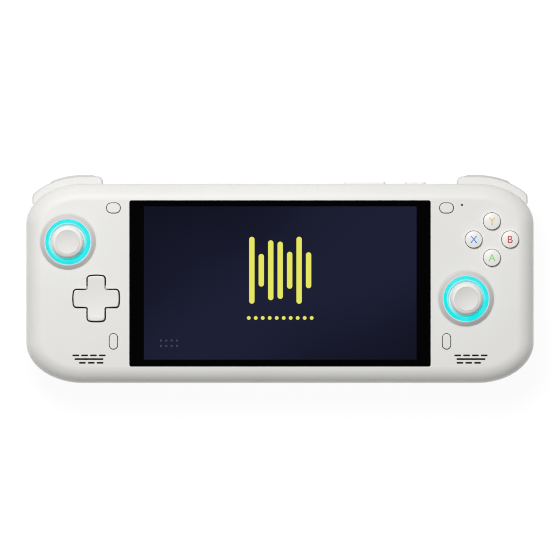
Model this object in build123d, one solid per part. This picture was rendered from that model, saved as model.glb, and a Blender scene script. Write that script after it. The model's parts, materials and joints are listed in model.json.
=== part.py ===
from build123d import *
from math import atan2, cos, pi, radians, sin, sqrt
import os

# A handheld game console, lying on its back. X runs to the right as the player sees it, Y to the top
# edge with the shoulder buttons, and Z out of the screen. Lengths are in millimetres.
# Inside this file Y is counted from the middle of the shell; the finished pieces are then moved so
# that the origin lies under the middle of the whole object, at the lowest point of the grips.

# Screen, and the body round it
panel_width = 136.8
panel_height = 78.6
glass_side_margin = 4.9
glass_top_margin = 1.15
body_side_margin = 50.45
body_top_margin = 8.15
glass_width = panel_width + 2 * glass_side_margin
glass_height = panel_height + 2 * glass_top_margin
body_width = glass_width + 2 * body_side_margin
body_height = glass_height + 2 * body_top_margin
half_width = body_width / 2
half_height = body_height / 2

# Shell
body_depth = 22.0
corner_width = 27.7
corner_height = 19.9
front_shell_depth = 9.0
front_roll = 8.0
rear_roll = 6.0
wall = 2.0
seam_chamfer = 0.3
lip_height = 1.2
lip_wall = 0.8
fit_gap = 0.1
overrun = 20.0

# Grips, two smooth swellings of the back
grip_depth = 12.0
grip_trim = 0.6
grip_inset = 24.75
grip_x = half_width - grip_inset
grip_y = -8.0
grip_reach_in = 36.0
grip_reach_out = 42.0
grip_reach_down = 70.0
grip_reach_up = 92.0

# Screen glass
glass_depth = 1.1
glass_corner = 1.0
panel_depth = 1.7
panel_corner = 0.8
window_gap = 0.4
frame_depth = 1.2
frame_rim = 4.0
frame_rim_top = 0.6
frame_panel_gap = 0.6

# Sticks
left_stick_inset = 20.65
left_stick_x = left_stick_inset - half_width
left_stick_y = 20.2
right_stick_inset = 33.25
right_stick_x = half_width - right_stick_inset
right_stick_y = -7.4
ring_outer = 11.0
ring_inner = 8.9
ring_rise = 1.8
ring_shoulder_share = 0.7
ring_sink = 1.5
ring_gap = 0.05
ring_flange = 1.6
ring_flange_depth = 0.8
collar_radius = 13.6
collar_rim = 0.5
collar_rise = 1.7
collar_bulge_shares = (0.5, 0.58)
pivot_sink = 6.5
dome_radius = 9.8
dome_wall = 0.8
dome_angle = 80.0
cap_radius = 7.9
cap_rise = 9.0
cap_depth = 3.0
cap_edge = 1.9
cap_dish_radius = 5.6
cap_dish = 0.9
cap_dish_shares = (0.6, 0.66)
cap_lip_share = 0.1
cap_crest_share = 0.15
cap_bulge_shares = (0.25, 0.6)
cap_shoulder_share = 1.3
neck_radius = 3.6
shaft_radius = 1.5
stick_base_size = 11.0
stick_base_corner = 2.0
stick_base_wall = 1.0
stick_base_rise = 3.5
stick_base_sink = 4.5
sensor_length = 7.0
sensor_width = 3.0
sensor_height = 2.0
yoke_outer = 4.2
yoke_inner = 3.0
yoke_height = 2.0
carriage_radius = 2.4
carriage_height = 2.4
gimbal_pin = 0.7
pin_gap = 0.05
click_travel = 0.4
click_spare = 0.15

# Direction pad
dpad_inset = 34.35
dpad_x = dpad_inset - half_width
dpad_y = -7.3
dpad_span = 22.0
dpad_arm = 8.2
dpad_bow = 0.45
dpad_corner = 1.3
dpad_inner_corner = 1.0
dpad_rise = 1.6
dpad_gap = 0.7
dpad_wall = 1.3
dpad_top_wall = 2.4
dpad_edge = 0.5
dpad_dish = 0.45
dpad_dish_radius = 9.6
dpad_length = 8.0
dpad_flange = 1.2
dpad_flange_depth = 1.0
dpad_flange_drop = 1.6
dpad_pivot_sink = 3.5
dpad_hub = 1.4
cheek_inner = 2.6
cheek_depth = 1.1
cheek_half_width = 1.8

# Face buttons
face_inset = 20.7
face_x = half_width - face_inset
face_y = 21.4
face_pitch = 8.86
face_button_radius = 4.1
face_button_gap = 0.25
face_button_rise = 2.0
face_button_crown = 0.7
button_dome_shares = (0.6, 0.14)
button_lip_share = 0.42
button_turn_shares = (0.36, 0.62)
button_foot_share = 0.1
face_button_length = 8.4
face_button_travel = 1.3
face_stem_radius = 3.0
key_flange = 0.9
key_flange_depth = 1.2
flange_gap = 0.2

# Pill keys, two above the controls and two below
upper_key_inset = 42.75
upper_key_x = half_width - upper_key_inset
upper_key_drop = 11.9
upper_key_y = half_height - upper_key_drop
upper_key_width = 6.5
upper_key_height = 4.7
upper_key_corner = 2.3
lower_key_inset = 42.75
lower_key_x = half_width - lower_key_inset
lower_key_lift = 20.4
lower_key_y = lower_key_lift - half_height
lower_key_width = 3.8
lower_key_height = 7.3
lower_key_corner = 1.85
pill_rise = 0.4
pill_gap = 0.35
pill_edge = 0.35
pill_stem = 1.3
pill_travel = 0.4
switch_gap = 0.2

# Rubber and switches on the control boards
rubber_depth = 1.0
rubber_margin = 2.0
rubber_dome_radius = 2.6
rubber_dome_top = 1.7
dome_clearance = 0.3
switch_side = 3.2
switch_height = 1.6
plunger_radius = 0.9

# Sound
speaker_inset = 29.25
speaker_x = half_width - speaker_inset
speaker_lift = 13.0
speaker_y = speaker_lift - half_height
speaker_width = 20.0
speaker_height = 9.6
speaker_depth = 5.6
speaker_corner = 2.0
slot_inset = 30.85
slot_x = half_width - slot_inset
slot_lift = 13.6
slot_top_y = slot_lift - half_height
slot_pitch = 1.8
slot_height = 0.87
slot_row = 14.1
dash_width = 3.3
dash_gap = 1.0
microphone_inset = 35.25
microphone_x = half_width - microphone_inset
microphone_drop = 10.4
microphone_y = half_height - microphone_drop
microphone_radius = 0.52

# Bumpers, swung on an upright pin
bumper_rise = 3.6
bumper_inset = 5.0
bumper_tip_inset = 3.05
bumper_tip_x = half_width - bumper_tip_inset
bumper_root_inset = 37.25
bumper_root_x = half_width - bumper_root_inset
bumper_tip_drop = 9.6
bumper_tip_y = half_height - bumper_tip_drop
bumper_height = 6.4
bumper_edge = 0.9
bumper_corner = 2.6
bumper_side_share = 0.48
bumper_lip = 7.0
shoulder_gap = 0.4
bumper_pin_inset = 34.45
bumper_pin_x = half_width - bumper_pin_inset
bumper_pin_drop = 7.2
bumper_pin_y = half_height - bumper_pin_drop
bumper_lug = 2.4
bumper_angle = 2.5
hinge_pin_radius = 1.0

# Triggers, swung on a pin along X
trigger_rise = 4.4
trigger_tip_inset = 10.95
trigger_tip_x = half_width - trigger_tip_inset
trigger_root_inset = 36.25
trigger_root_x = half_width - trigger_root_inset
trigger_height = 9.6
trigger_wall = 1.6
trigger_tip_round = 3.0
trigger_root_round = 5.0
pin_cover = 0.6
trigger_back_drop = 5.0
trigger_back_y = half_height - trigger_back_drop
trigger_top_drop = 3.8
trigger_top_y = half_height - trigger_top_drop
trigger_hollow = 1.8
trigger_scoop = 1.6
trigger_pin_sink = 3.1
trigger_pin_y = half_height - trigger_pin_sink
trigger_pin_drop = 4.2
cheek_radius = 2.1
trigger_notch_drop = 3.6
trigger_notch_y = half_height - trigger_notch_drop
spring_coil = 1.7
spring_wire = 0.25
spring_turns = 4
spring_pitch = 0.7

# Shoulder bracket
bracket_metal = 1.2
bracket_web_drop = 12.9
bracket_web_y = half_height - bracket_web_drop
bracket_foot = 5.5
bracket_foot_z = 13.0
bracket_side_gap = 0.3

# Boards
board_depth = 1.2
side_board_tip_inset = 5.75
side_board_tip_x = half_width - side_board_tip_inset
side_board_root_inset = 46.55
side_board_root_x = half_width - side_board_root_inset
side_board_top_drop = 14.0
side_board_top_y = half_height - side_board_top_drop
side_board_lift = 15.6
side_board_low_y = side_board_lift - half_height
side_board_corner = 6.0
switch_tab_inset = 19.75
switch_tab_x = half_width - switch_tab_inset
switch_tab_width = 9.0
switch_tab_drop = 9.2
switch_tab_y = half_height - switch_tab_drop
key_tab_inset = 42.55
key_tab_x = half_width - key_tab_inset
key_tab_drop = 9.4
key_tab_y = half_height - key_tab_drop
bumper_switch_width = 5.0
bumper_switch_depth = 2.6
bumper_switch_height = 2.4
bumper_switch_reach = 2.0
main_board_side_gap = -1.3
main_board_left = main_board_side_gap - glass_width / 2
main_board_right = 10.0
main_board_lift = 3.2
main_board_low = main_board_lift - half_height
main_board_top_drop = 14.6
main_board_high = half_height - main_board_top_drop
main_board_depth = 1.0
main_board_drop = 4.8
standoff_radius = 2.2

# Cooling
fan_x = -20.0
fan_drop = 36.6
fan_y = half_height - fan_drop
fan_width = 41.0
fan_height = 41.0
fan_depth = 6.2
fan_wall = 0.9
fan_bore = 18.6
fan_tip = 17.6
fan_hub = 8.0
fan_intake = 13.8
fan_shaft = 1.0
fan_running_gap = 0.6
blade_root_share = 0.9
blade_bend_share = 0.3
blade_count = 17
blade_thickness = 0.6
blade_sweep = 22.0
intake_ring_height = 1.0
intake_ring_width = 1.5
fin_length = 10.0
fin_depth = 4.6
fin_thickness = 0.5
fin_pitch = 2.2
fin_base = 0.8
pipe_width = 8.0
pipe_depth = 2.4
pipe_bend = 9.0
pipe_round_share = 0.45
plate_side = 20.0
plate_depth = 1.2
chip_x = -57.0
chip_drop = 26.0
chip_y = main_board_high - chip_drop
chip_width = 25.0
chip_height = 22.0
chip_depth = 1.0
memory_pitch_share = 0.7
die_width = 13.0
die_height = 10.0
die_depth = 0.6
grille_radius = 16.0
grille_slot = 2.0
grille_pitch = 3.8
grille_rib = 2.4
vent_width = 2.2
vent_pitch = 4.4
vent_height = 6.0

# Power and storage
battery_left = 14.0
battery_side_gap = 1.3
battery_right = glass_width / 2 - battery_side_gap
battery_lift = 9.6
battery_low = battery_lift - half_height
battery_top_drop = 10.6
battery_high = half_height - battery_top_drop
battery_depth = 7.5
battery_corner = 2.5
drive_side_gap = 1.3
drive_left = drive_side_gap - glass_width / 2
drive_length = 42.0
drive_lift = 15.9
drive_low = main_board_low + drive_lift
drive_width = 22.0
drive_depth = 0.8
drive_chip_depth = 1.2
drive_chip_margin = 3.0
drive_socket_depth = 1.3
drive_socket_length = 6.0
motor_inset = 23.75
motor_x = half_width - motor_inset
motor_drop = 4.0
motor_y = grip_y - motor_drop
motor_length = 17.0
motor_width = 9.0
motor_depth = 5.0
motor_corner = 1.5
motor_seat = 6.5
motor_pad_margin = 2.0

# Ports on the bottom edge
usb_x = 0.5
usb_width = 8.94
usb_height = 3.26
usb_depth = 7.35
usb_wall = 0.3
usb_recess = 0.8
usb_mouth_gap = 0.35
usb_tongue_width = 6.7
usb_tongue_height = 0.7
usb_tongue_length = 4.6
jack_x = -23.1
jack_width = 7.0
jack_height = 6.0
jack_length = 14.2
jack_collar = 2.9
jack_bore = 1.78
jack_bore_length = 13.0
jack_recess = 0.4
jack_gap = 0.2
card_inset = 6.9
card_x = card_inset - glass_width / 2
card_width = 14.0
card_length = 15.0
card_height = 1.8
card_slot_width = 11.4
card_slot_height = 0.9
card_wall_gap = 0.4

# Keys on the top edge
rocker_x = 41.5
rocker_width = 20.0
rocker_switch_share = 0.36
power_inset = 7.3
power_x = glass_width / 2 - power_inset
power_width = 10.0
edge_key_height = 3.4
edge_key_z = 21.3
edge_key_rise = 1.0
edge_key_gap = 0.3
edge_key_flange = 1.1
edge_key_flange_depth = 1.0
edge_key_play = 0.5
edge_key_edge = 0.4
edge_key_round_share = 0.46
key_board_left_margin = 11.5
key_board_right_margin = 6.0
key_board_left = rocker_x - key_board_left_margin
key_board_right = power_x + key_board_right_margin
key_board_drop = 6.0
key_board_y = half_height - key_board_drop
key_board_depth = 1.0
key_board_low = 17.0
key_board_high = 25.4
key_switch_depth = 1.0
key_board_foot = 2.2

# Screws
shell_boss_radius = 2.6
shell_post_radius = 3.0
shell_screw_head_z = 17.5
shell_head_radius = 2.0
shell_head_height = 1.4
shell_screw_radius = 0.95
shell_screw_length = 12.4
shell_hole_gap = 0.3
thread_gap = 0.02
small_head_radius = 1.8
small_head_height = 1.0
small_screw_radius = 0.8
small_screw_length = 3.1
ear_reach = 10.0
ear_x = panel_width / 2 + ear_reach
ear_radius = 2.8
ear_high_y = 14.0
ear_low_y = -18.0
recess_side = 0.9
recess_depth = 0.6

# Levels that follow from the values above
front_z = grip_depth + body_depth
seam_z = front_z - front_shell_depth
inner_front_z = front_z - wall
pivot_z = front_z - pivot_sink
board_z = pivot_z - stick_base_sink
frame_top_z = front_z - glass_depth - panel_depth
frame_low_z = frame_top_z - frame_depth
main_top_z = frame_low_z - main_board_drop
main_low_z = main_top_z - main_board_depth
bumper_top_z = front_z - bumper_lip - shoulder_gap
bumper_low_z = bumper_top_z - bumper_height
trigger_top_z = bumper_low_z - shoulder_gap
trigger_low_z = trigger_top_z - trigger_height
trigger_pin_z = trigger_top_z - trigger_pin_drop
fan_low_z = grip_depth + wall + intake_ring_height
fan_top_z = fan_low_z + fan_depth
fan_high_y = fan_y + fan_height - fan_bore - fan_wall
body_shift = -trigger_rise / 2
die_low_z = main_low_z - chip_depth - die_depth
fin_top_z = die_low_z - plate_depth - pipe_depth
fin_low_y = fan_high_y + fit_gap
impeller_low_z = fan_low_z + fan_wall + fan_running_gap
impeller_top_z = fan_top_z - fan_wall - fan_running_gap
dpad_pivot_z = front_z - dpad_pivot_sink
dpad_low_z = front_z + dpad_rise - dpad_length
pill_stem_sink = 1.75
pill_stem_z = dpad_low_z - pill_stem_sink
stick_places = [(left_stick_x, left_stick_y), (right_stick_x, right_stick_y)]
bracket_foot_y = bracket_web_y - bracket_foot / 2
bracket_foot_inset = 7.0
bracket_foot_xs = (trigger_tip_x - bracket_foot_inset, trigger_root_x + bracket_foot_inset)

# Places of screws: shell bosses, board standoffs and frame ears
boss_edge = 5.5
boss_side_inset = 45.75
boss_side = half_width - boss_side_inset
grip_boss_inset = 8.75
grip_boss_x = half_width - grip_boss_inset
grip_boss_y = grip_y
corner_boss_inset = 13.25
corner_boss_x = half_width - corner_boss_inset
corner_boss_lift = 11.6
corner_boss_y = corner_boss_lift - half_height
shell_screw_places = [
    (boss_side, half_height - boss_edge),
    (boss_side, boss_edge - half_height),
    (grip_boss_x, grip_boss_y),
    (corner_boss_x, corner_boss_y),
]
standoff_inset = 4.0
standoff_places = [
    (main_board_left + standoff_inset, main_board_high - standoff_inset),
    (main_board_right - standoff_inset, main_board_high - standoff_inset),
    (main_board_right - standoff_inset, main_board_low + 2 * standoff_inset),
    (main_board_left + standoff_inset, chip_y - chip_height / 2 - standoff_radius),
]
ear_places = [(ear_x, ear_high_y), (ear_x, ear_low_y), (-ear_x, ear_high_y), (-ear_x, ear_low_y)]
post_tip_inset = 7.75
post_tip_x = half_width - post_tip_inset
post_root_inset = 39.25
post_root_x = half_width - post_root_inset
post_mid_y = 3.0
post_low_inset = 26.75
post_low_x = half_width - post_low_inset
post_low_margin = 5.5
post_low_y = side_board_low_y + post_low_margin
post_high_margin = 7.6
post_high_y = side_board_top_y - post_high_margin
board_post_radius = 2.2
board_post_places = [
    (post_tip_x, post_mid_y),
    (post_root_x, post_mid_y),
    (post_low_x, post_low_y),
    (post_root_x, post_high_y),
]


# Small helpers

def prism(sketch, low, high):
    """A flat outline raised from one level to another."""
    return extrude(Pos(0, 0, low) * sketch, high - low)


def post(x, y, radius, low, high):
    """An upright round post or hole."""
    return prism(Pos(x, y) * Circle(radius), low, high)


def brick(x_low, x_high, y_low, y_high, z_low, z_high):
    """A block given by its six faces."""
    centre = Pos((x_low + x_high) / 2, (y_low + y_high) / 2, (z_low + z_high) / 2)
    return centre * Box(x_high - x_low, y_high - y_low, z_high - z_low)


def plate(x, y, width, height, corner, low, high):
    """A plate with rounded corners."""
    return prism(Pos(x, y) * RectangleRounded(width, height, corner), low, high)


def turned(points, x, y, z):
    """A turned piece: half of its section, as radius and height, spun about an upright axis."""
    section = Plane.XZ * make_face(Polyline(*points, close=True))
    return Pos(x, y, z) * revolve(section, Axis.Z)


def across(y_low, y_high, sketch):
    """An outline drawn in X and Z, raised along Y."""
    return extrude(Plane((0, y_low, 0), x_dir=(1, 0, 0), z_dir=(0, -1, 0)) * sketch, y_low - y_high)


def other_side(shape):
    """The same piece on the other side of the console."""
    return mirror(shape, Plane.YZ)


def both_sides(shape):
    """A piece together with its mirror image."""
    return shape + other_side(shape)


def solids_of(shapes):
    """All solids of a list of shapes, so that one operation can take them together."""
    return [solid for shape in shapes for solid in shape.solids()]


def save(name, shape):
    """Move a finished piece into the object's own frame and write it."""
    export_step(Pos(0, body_shift, 0) * shape, "parts/" + name + ".step")


def save_group(name, shapes):
    """Write several separate solids under one name."""
    place = Pos(0, body_shift, 0)
    group = Compound([place * solid for solid in solids_of(shapes)])
    export_step(group, "parts/" + name + ".step")


# The shell's outline: straight sides and elliptical corners

def outline(growth):
    """The outline of the shell, grown or shrunk all round."""
    side = half_width + growth
    top = half_height + growth
    run = half_width - corner_width
    rise = half_height - corner_height
    reach_x = corner_width + growth
    reach_y = corner_height + growth
    edges = [
        Line((-run, -top), (run, -top)),
        EllipticalCenterArc((run, -rise), reach_x, reach_y, -90, arc_size=90),
        Line((side, -rise), (side, rise)),
        EllipticalCenterArc((run, rise), reach_x, reach_y, 0, arc_size=90),
        Line((run, top), (-run, top)),
        EllipticalCenterArc((-run, rise), reach_x, reach_y, 90, arc_size=90),
        Line((-side, rise), (-side, -rise)),
        EllipticalCenterArc((-run, -rise), reach_x, reach_y, 180, arc_size=90),
    ]
    return Sketch() + make_face(edges)


def front_block(inset, high, roll):
    """The front half as a solid, with its edge rolled off."""
    block = prism(outline(-inset), seam_z, high)
    return fillet(block.edges().group_by(Axis.Z)[-1], roll)


def swelling(distance, reach):
    """A smooth hump: 1 in the middle, 0 where the distance equals the reach."""
    share = min(1, abs(distance) / reach)
    return cos(pi * share / 2) ** 2


def back_level(x, y):
    """The height of the back's outer face above the table at a point."""
    reach_x = grip_reach_out if abs(x) > grip_x else grip_reach_in
    reach_y = grip_reach_down if y < grip_y else grip_reach_up
    hump = swelling(abs(x) - grip_x, reach_x) * swelling(y - grip_y, reach_y)
    return grip_depth - (grip_depth + grip_trim) * hump


def back_face(lift):
    """The curved face of the back, as one smooth surface through points of the formula."""
    columns = 41
    rows = 15
    width = body_width + overrun
    height = body_height + overrun / 2
    grid = []
    for column in range(columns):
        x = width * (column / (columns - 1) - 1 / 2)
        line = []
        for row in range(rows):
            y = height * (row / (rows - 1) - 1 / 2)
            line.append(Vector(x, y, back_level(x, y) + lift))
        grid.append(line)
    return Face.make_surface_from_array_of_points(grid, tol=wall / 40)


def rear_block(inset, roll):
    """The rear half as a solid: the outline up to the seam, cut by the back's curved face."""
    above = extrude(back_face(inset), body_depth + grip_depth, dir=(0, 0, 1))
    block = prism(outline(-inset), inset, seam_z) & above
    rim = [edge for edge in block.edges() if is_back_rim(edge, inset)]
    return fillet(rim, roll)


def is_back_rim(edge, floor):
    """Whether an edge runs round the back, where the side wall meets the curved face."""
    level = edge.center().Z
    between = floor + seam_chamfer < level < seam_z - seam_chamfer
    return between and edge.geom_type != GeomType.LINE


# Openings in both shells for the shoulder buttons

def shoulder_band(tip_x, root_x, low_y, inset, growth):
    """The left shoulder's plan: a band along the outline, between two distances from it."""
    band = outline(growth) - outline(-inset)
    height = half_height + growth - low_y
    window = Pos(-(tip_x + root_x) / 2, low_y + height / 2) * Rectangle(tip_x - root_x, height)
    return band & window


def shoulder_cut():
    """What both shells lose at the left shoulder, so that bumper and trigger can move."""
    press = (bumper_tip_x - bumper_pin_x) * sin(radians(bumper_angle))
    bumper = shoulder_band(bumper_tip_x + shoulder_gap, bumper_root_x - shoulder_gap,
                           bumper_tip_y - press - shoulder_gap, bumper_inset + wall, overrun)
    cut = prism(bumper, bumper_low_z - shoulder_gap, front_z - bumper_lip)
    trigger = shoulder_band(trigger_tip_x + shoulder_gap, trigger_root_x - shoulder_gap,
                            bumper_tip_y, bumper_inset + wall, overrun)
    cut += prism(trigger, trigger_low_z - shoulder_gap, bumper_top_z)
    notch = brick(-trigger_tip_x - shoulder_gap, -trigger_root_x + shoulder_gap,
                  trigger_notch_y, half_height + overrun, 0, trigger_top_z)
    return cut + notch


# Front shell

def collar(x, y):
    """The raised ring of the shell round a stick, sloping down to the flat face."""
    rim = ring_outer + ring_gap + collar_rim
    arc = ThreePointArc((rim, collar_rise),
                        (rim + (collar_radius - rim) * collar_bulge_shares[0],
                         collar_rise * collar_bulge_shares[1]),
                        (collar_radius, 0))
    edges = [
        Line((0, -wall / 2), (0, collar_rise)),
        Line((0, collar_rise), (rim, collar_rise)),
        arc,
        Line((collar_radius, 0), (collar_radius, -wall / 2)),
        Line((collar_radius, -wall / 2), (0, -wall / 2)),
    ]
    section = Plane.XZ * make_face(edges)
    return Pos(x, y, front_z) * revolve(section, Axis.Z)


def dpad_outline(growth):
    """The cross of the direction pad, with slightly bowed arm ends."""
    reach = dpad_span / 2
    half = dpad_arm / 2
    bar_edges = [
        Line((dpad_bow - reach, -half), (reach - dpad_bow, -half)),
        ThreePointArc((reach - dpad_bow, -half), (reach, 0), (reach - dpad_bow, half)),
        Line((reach - dpad_bow, half), (dpad_bow - reach, half)),
        ThreePointArc((dpad_bow - reach, half), (-reach, 0), (dpad_bow - reach, -half)),
    ]
    bar = Sketch() + make_face(bar_edges)
    bar = fillet(bar.vertices(), dpad_corner)
    cross = bar + Rot(0, 0, 90) * bar
    inner = [vertex for vertex in cross.vertices() if vertex.center().length < dpad_arm]
    cross = fillet(inner, dpad_inner_corner)
    if growth:
        cross = offset(cross, amount=growth)
    return cross


def speaker_slots():
    """The left speaker's slots: four dashes, one long slot and three dashes."""
    step = dash_width + dash_gap
    inboard = slot_row / 2
    cuts = []
    for index in range(4):
        x = -slot_x + (index - 3 / 2) * step
        cuts.append(Pos(x, slot_top_y) * SlotOverall(dash_width, slot_height))
    cuts.append(Pos(-slot_x, slot_top_y - slot_pitch) * SlotOverall(slot_row, slot_height))
    for index in range(3):
        x = -slot_x + inboard - dash_width / 2 - index * step
        cuts.append(Pos(x, slot_top_y - 2 * slot_pitch) * SlotOverall(dash_width, slot_height))
    return Sketch() + cuts


def front_openings():
    """All that is cut through the face of the front shell."""
    low = seam_z + shell_boss_radius
    high = front_z + overrun
    cuts = [
        plate(0, 0, glass_width, glass_height, glass_corner, front_z - glass_depth, high),
        plate(0, 0, panel_width + 2 * window_gap, panel_height + 2 * window_gap, panel_corner, low, high),
        prism(Pos(dpad_x, dpad_y) * dpad_outline(dpad_gap), low, high),
        both_sides(prism(speaker_slots(), low, high)),
        post(microphone_x, microphone_y, microphone_radius, low, high),
    ]
    for x, y in stick_places:
        cuts.append(post(x, y, ring_outer + ring_gap, low, high))
    for x, y in face_places():
        cuts.append(post(x, y, face_button_radius + face_button_gap, low, high))
    for x, y, width, height, corner in pill_places():
        cuts.append(plate(x, y, width + 2 * pill_gap, height + 2 * pill_gap, corner + pill_gap, low, high))
    return cuts


def face_places():
    """Middles of the four face buttons: A below, B to the right, X to the left, Y above."""
    return [
        (face_x, face_y - face_pitch),
        (face_x + face_pitch, face_y),
        (face_x - face_pitch, face_y),
        (face_x, face_y + face_pitch),
    ]


def pill_places():
    """The four pill keys: place, size and corner radius."""
    upper = (upper_key_width, upper_key_height, upper_key_corner)
    lower = (lower_key_width, lower_key_height, lower_key_corner)
    return [
        (-upper_key_x, upper_key_y) + upper,
        (upper_key_x, upper_key_y) + upper,
        (-lower_key_x, lower_key_y) + lower,
        (lower_key_x, lower_key_y) + lower,
    ]


def make_front_shell():
    outer = front_block(0, front_z, front_roll)
    outer = chamfer(outer.edges().group_by(Axis.Z)[0], seam_chamfer)
    shell = outer - front_block(wall, inner_front_z, front_roll - wall)
    additions = [post(x, y, ear_radius, frame_top_z, inner_front_z + wall / 2) for x, y in ear_places]
    additions += [collar(x, y) for x, y in stick_places]
    cuts = front_openings() + [both_sides(shoulder_cut())]
    pilot_top = shell_screw_head_z + shell_screw_length + shell_hole_gap
    for x, y in shell_screw_places:
        boss = post(x, y, shell_boss_radius, seam_z, inner_front_z + wall / 2)
        additions.append(both_sides(boss & outer))
        cuts.append(both_sides(post(x, y, shell_screw_radius + thread_gap, seam_z, pilot_top)))
    ear_top = frame_low_z + small_screw_length + shell_hole_gap
    for x, y in ear_places:
        cuts.append(post(x, y, small_screw_radius + thread_gap, seam_z, ear_top))
    shell += solids_of(additions)
    return shell - solids_of(cuts)


# Rear shell

def seam_lip():
    """The inner tongue that rises from the rear shell into the front shell."""
    tongue = outline(-wall - fit_gap) - outline(-wall - lip_wall)
    root = outline(-wall / 2) - outline(-wall - lip_wall)
    return prism(tongue, seam_z - lip_height, seam_z + lip_height) \
        + prism(root, seam_z - 2 * lip_height, seam_z - lip_height)


def fan_grille():
    """Rows of slots under the fan, inside a circle and split by a rib."""
    rows = int(grille_radius / grille_pitch)
    cuts = []
    for row in range(-rows, rows + 1):
        y = row * grille_pitch
        chord = sqrt(grille_radius ** 2 - y ** 2)
        length = chord - grille_rib / 2
        for side in (-1, 1):
            x = fan_x + side * (grille_rib + length) / 2
            cuts.append(Pos(x, fan_y + y) * SlotOverall(length, grille_slot))
    return prism(Sketch() + cuts, 0, grip_depth + 2 * wall)


def exhaust_vents():
    """Upright slots in the top edge, behind the heatsink's fins."""
    count = int(fan_width / vent_pitch)
    middle = fin_top_z - fin_depth / 2 + wall / 2
    slot = Rot(0, 0, 90) * SlotOverall(vent_height, vent_width)
    cuts = [Pos(fan_x + (index - (count - 1) / 2) * vent_pitch, middle) * slot for index in range(count)]
    return across(half_height - 2 * wall, half_height + overrun, Sketch() + cuts)


def edge_openings():
    """Port mouths on the bottom edge and key slots on the top edge."""
    low = -half_height - overrun
    inside = wall + lip_wall - half_height
    usb_z = main_low_z - usb_height / 2
    jack_z = main_low_z - jack_height / 2
    card_z = main_low_z - card_height / 2
    gap = 2 * usb_mouth_gap
    usb = Pos(usb_x, usb_z) * SlotOverall(usb_width + gap, usb_height + gap)
    cuts = across(low, inside + fit_gap, usb)
    cuts += across(low, inside + fit_gap, Pos(jack_x, jack_z) * Circle(jack_collar + jack_gap))
    card = Pos(card_x, card_z) * Rectangle(card_slot_width + 2 * card_wall_gap,
                                           card_slot_height + card_wall_gap)
    cuts += across(low, inside + fit_gap, card)
    for x, width in ((rocker_x, rocker_width), (power_x, power_width)):
        hole = Rectangle(width + 2 * edge_key_gap, edge_key_height + 2 * edge_key_gap)
        slot = fillet(hole.vertices(), edge_key_height / 2)
        cuts += across(half_height - 2 * wall, half_height + overrun, Pos(x, edge_key_z) * slot)
    return cuts


def lip_gaps():
    """Where the tongue stops: at the ports' bodies and behind the keys of the top edge."""
    inner_low = wall - half_height
    inner_high = half_height - wall
    top = seam_z + lip_height + fit_gap
    cuts = brick(usb_x - usb_width / 2 - fit_gap, usb_x + usb_width / 2 + fit_gap, inner_low,
                 inner_low + 2 * wall, main_low_z - usb_height - fit_gap, top)
    cuts += brick(jack_x - jack_width / 2 - fit_gap, jack_x + jack_width / 2 + fit_gap, inner_low,
                  inner_low + 2 * wall, main_low_z - jack_height - fit_gap, top)
    cuts += brick(card_x - card_width / 2 - fit_gap, card_x + card_width / 2 + fit_gap, inner_low,
                  inner_low + 2 * wall, main_low_z - card_height - fit_gap, top)
    cuts += brick(rocker_x - rocker_width / 2 - 2 * edge_key_flange, power_x + power_width / 2
                  + 2 * edge_key_flange, inner_high - 2 * wall, inner_high,
                  edge_key_z - edge_key_height, top)
    return cuts


def rear_seats(outer):
    """Posts and pads that stand on the back's inside and carry boards, brackets and motors."""
    seats = []
    for x, y in board_post_places:
        seats.append(both_sides(post(x, y, board_post_radius, 0, board_z - board_depth) & outer))
    for x in bracket_foot_xs:
        seats.append(both_sides(post(x, bracket_foot_y, board_post_radius, 0, bracket_foot_z) & outer))
    pad = brick(motor_x - motor_length / 2 + motor_pad_margin, motor_x + motor_length / 2 - motor_pad_margin,
                motor_y - motor_width / 2 + motor_pad_margin / 2,
                motor_y + motor_width / 2 - motor_pad_margin / 2, 0, motor_seat)
    seats.append(both_sides(pad & outer))
    ring = post(fan_x, fan_y, grille_radius + fin_pitch, grip_depth, fan_low_z)
    seats.append(ring - post(fan_x, fan_y, grille_radius + fin_pitch - intake_ring_width, 0, fan_low_z))
    for x in (key_board_left + key_board_foot / 2, key_board_right - key_board_foot / 2):
        seats.append(brick(x - key_board_foot / 2, x + key_board_foot / 2, key_board_y - key_board_foot / 2,
                           key_board_y + key_board_depth + key_board_foot / 2, grip_depth + wall / 2,
                           key_board_low) & outer)
    return seats


def make_rear_shell():
    solid = rear_block(0, rear_roll)
    shell = solid - rear_block(wall, rear_roll - wall)
    additions = rear_seats(solid)
    for x, y in shell_screw_places:
        additions.append(both_sides(post(x, y, shell_post_radius, 0, seam_z) & solid))
    additions.append(seam_lip() - lip_gaps())
    shell += solids_of(additions)
    cuts = [fan_grille(), exhaust_vents(), edge_openings(), both_sides(shoulder_cut())]
    for x, y in shell_screw_places:
        cuts.append(both_sides(post(x, y, shell_head_radius + shell_hole_gap, -overrun, shell_screw_head_z)))
        cuts.append(both_sides(post(x, y, shell_screw_radius + shell_hole_gap, 0, seam_z)))
    return shell - solids_of(cuts)


# Screen and the frame behind it

def make_cover_glass():
    return plate(0, 0, glass_width, glass_height, glass_corner, front_z - glass_depth, front_z)


def make_display_panel():
    return plate(0, 0, panel_width, panel_height, panel_corner, frame_top_z, front_z - glass_depth)


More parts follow.
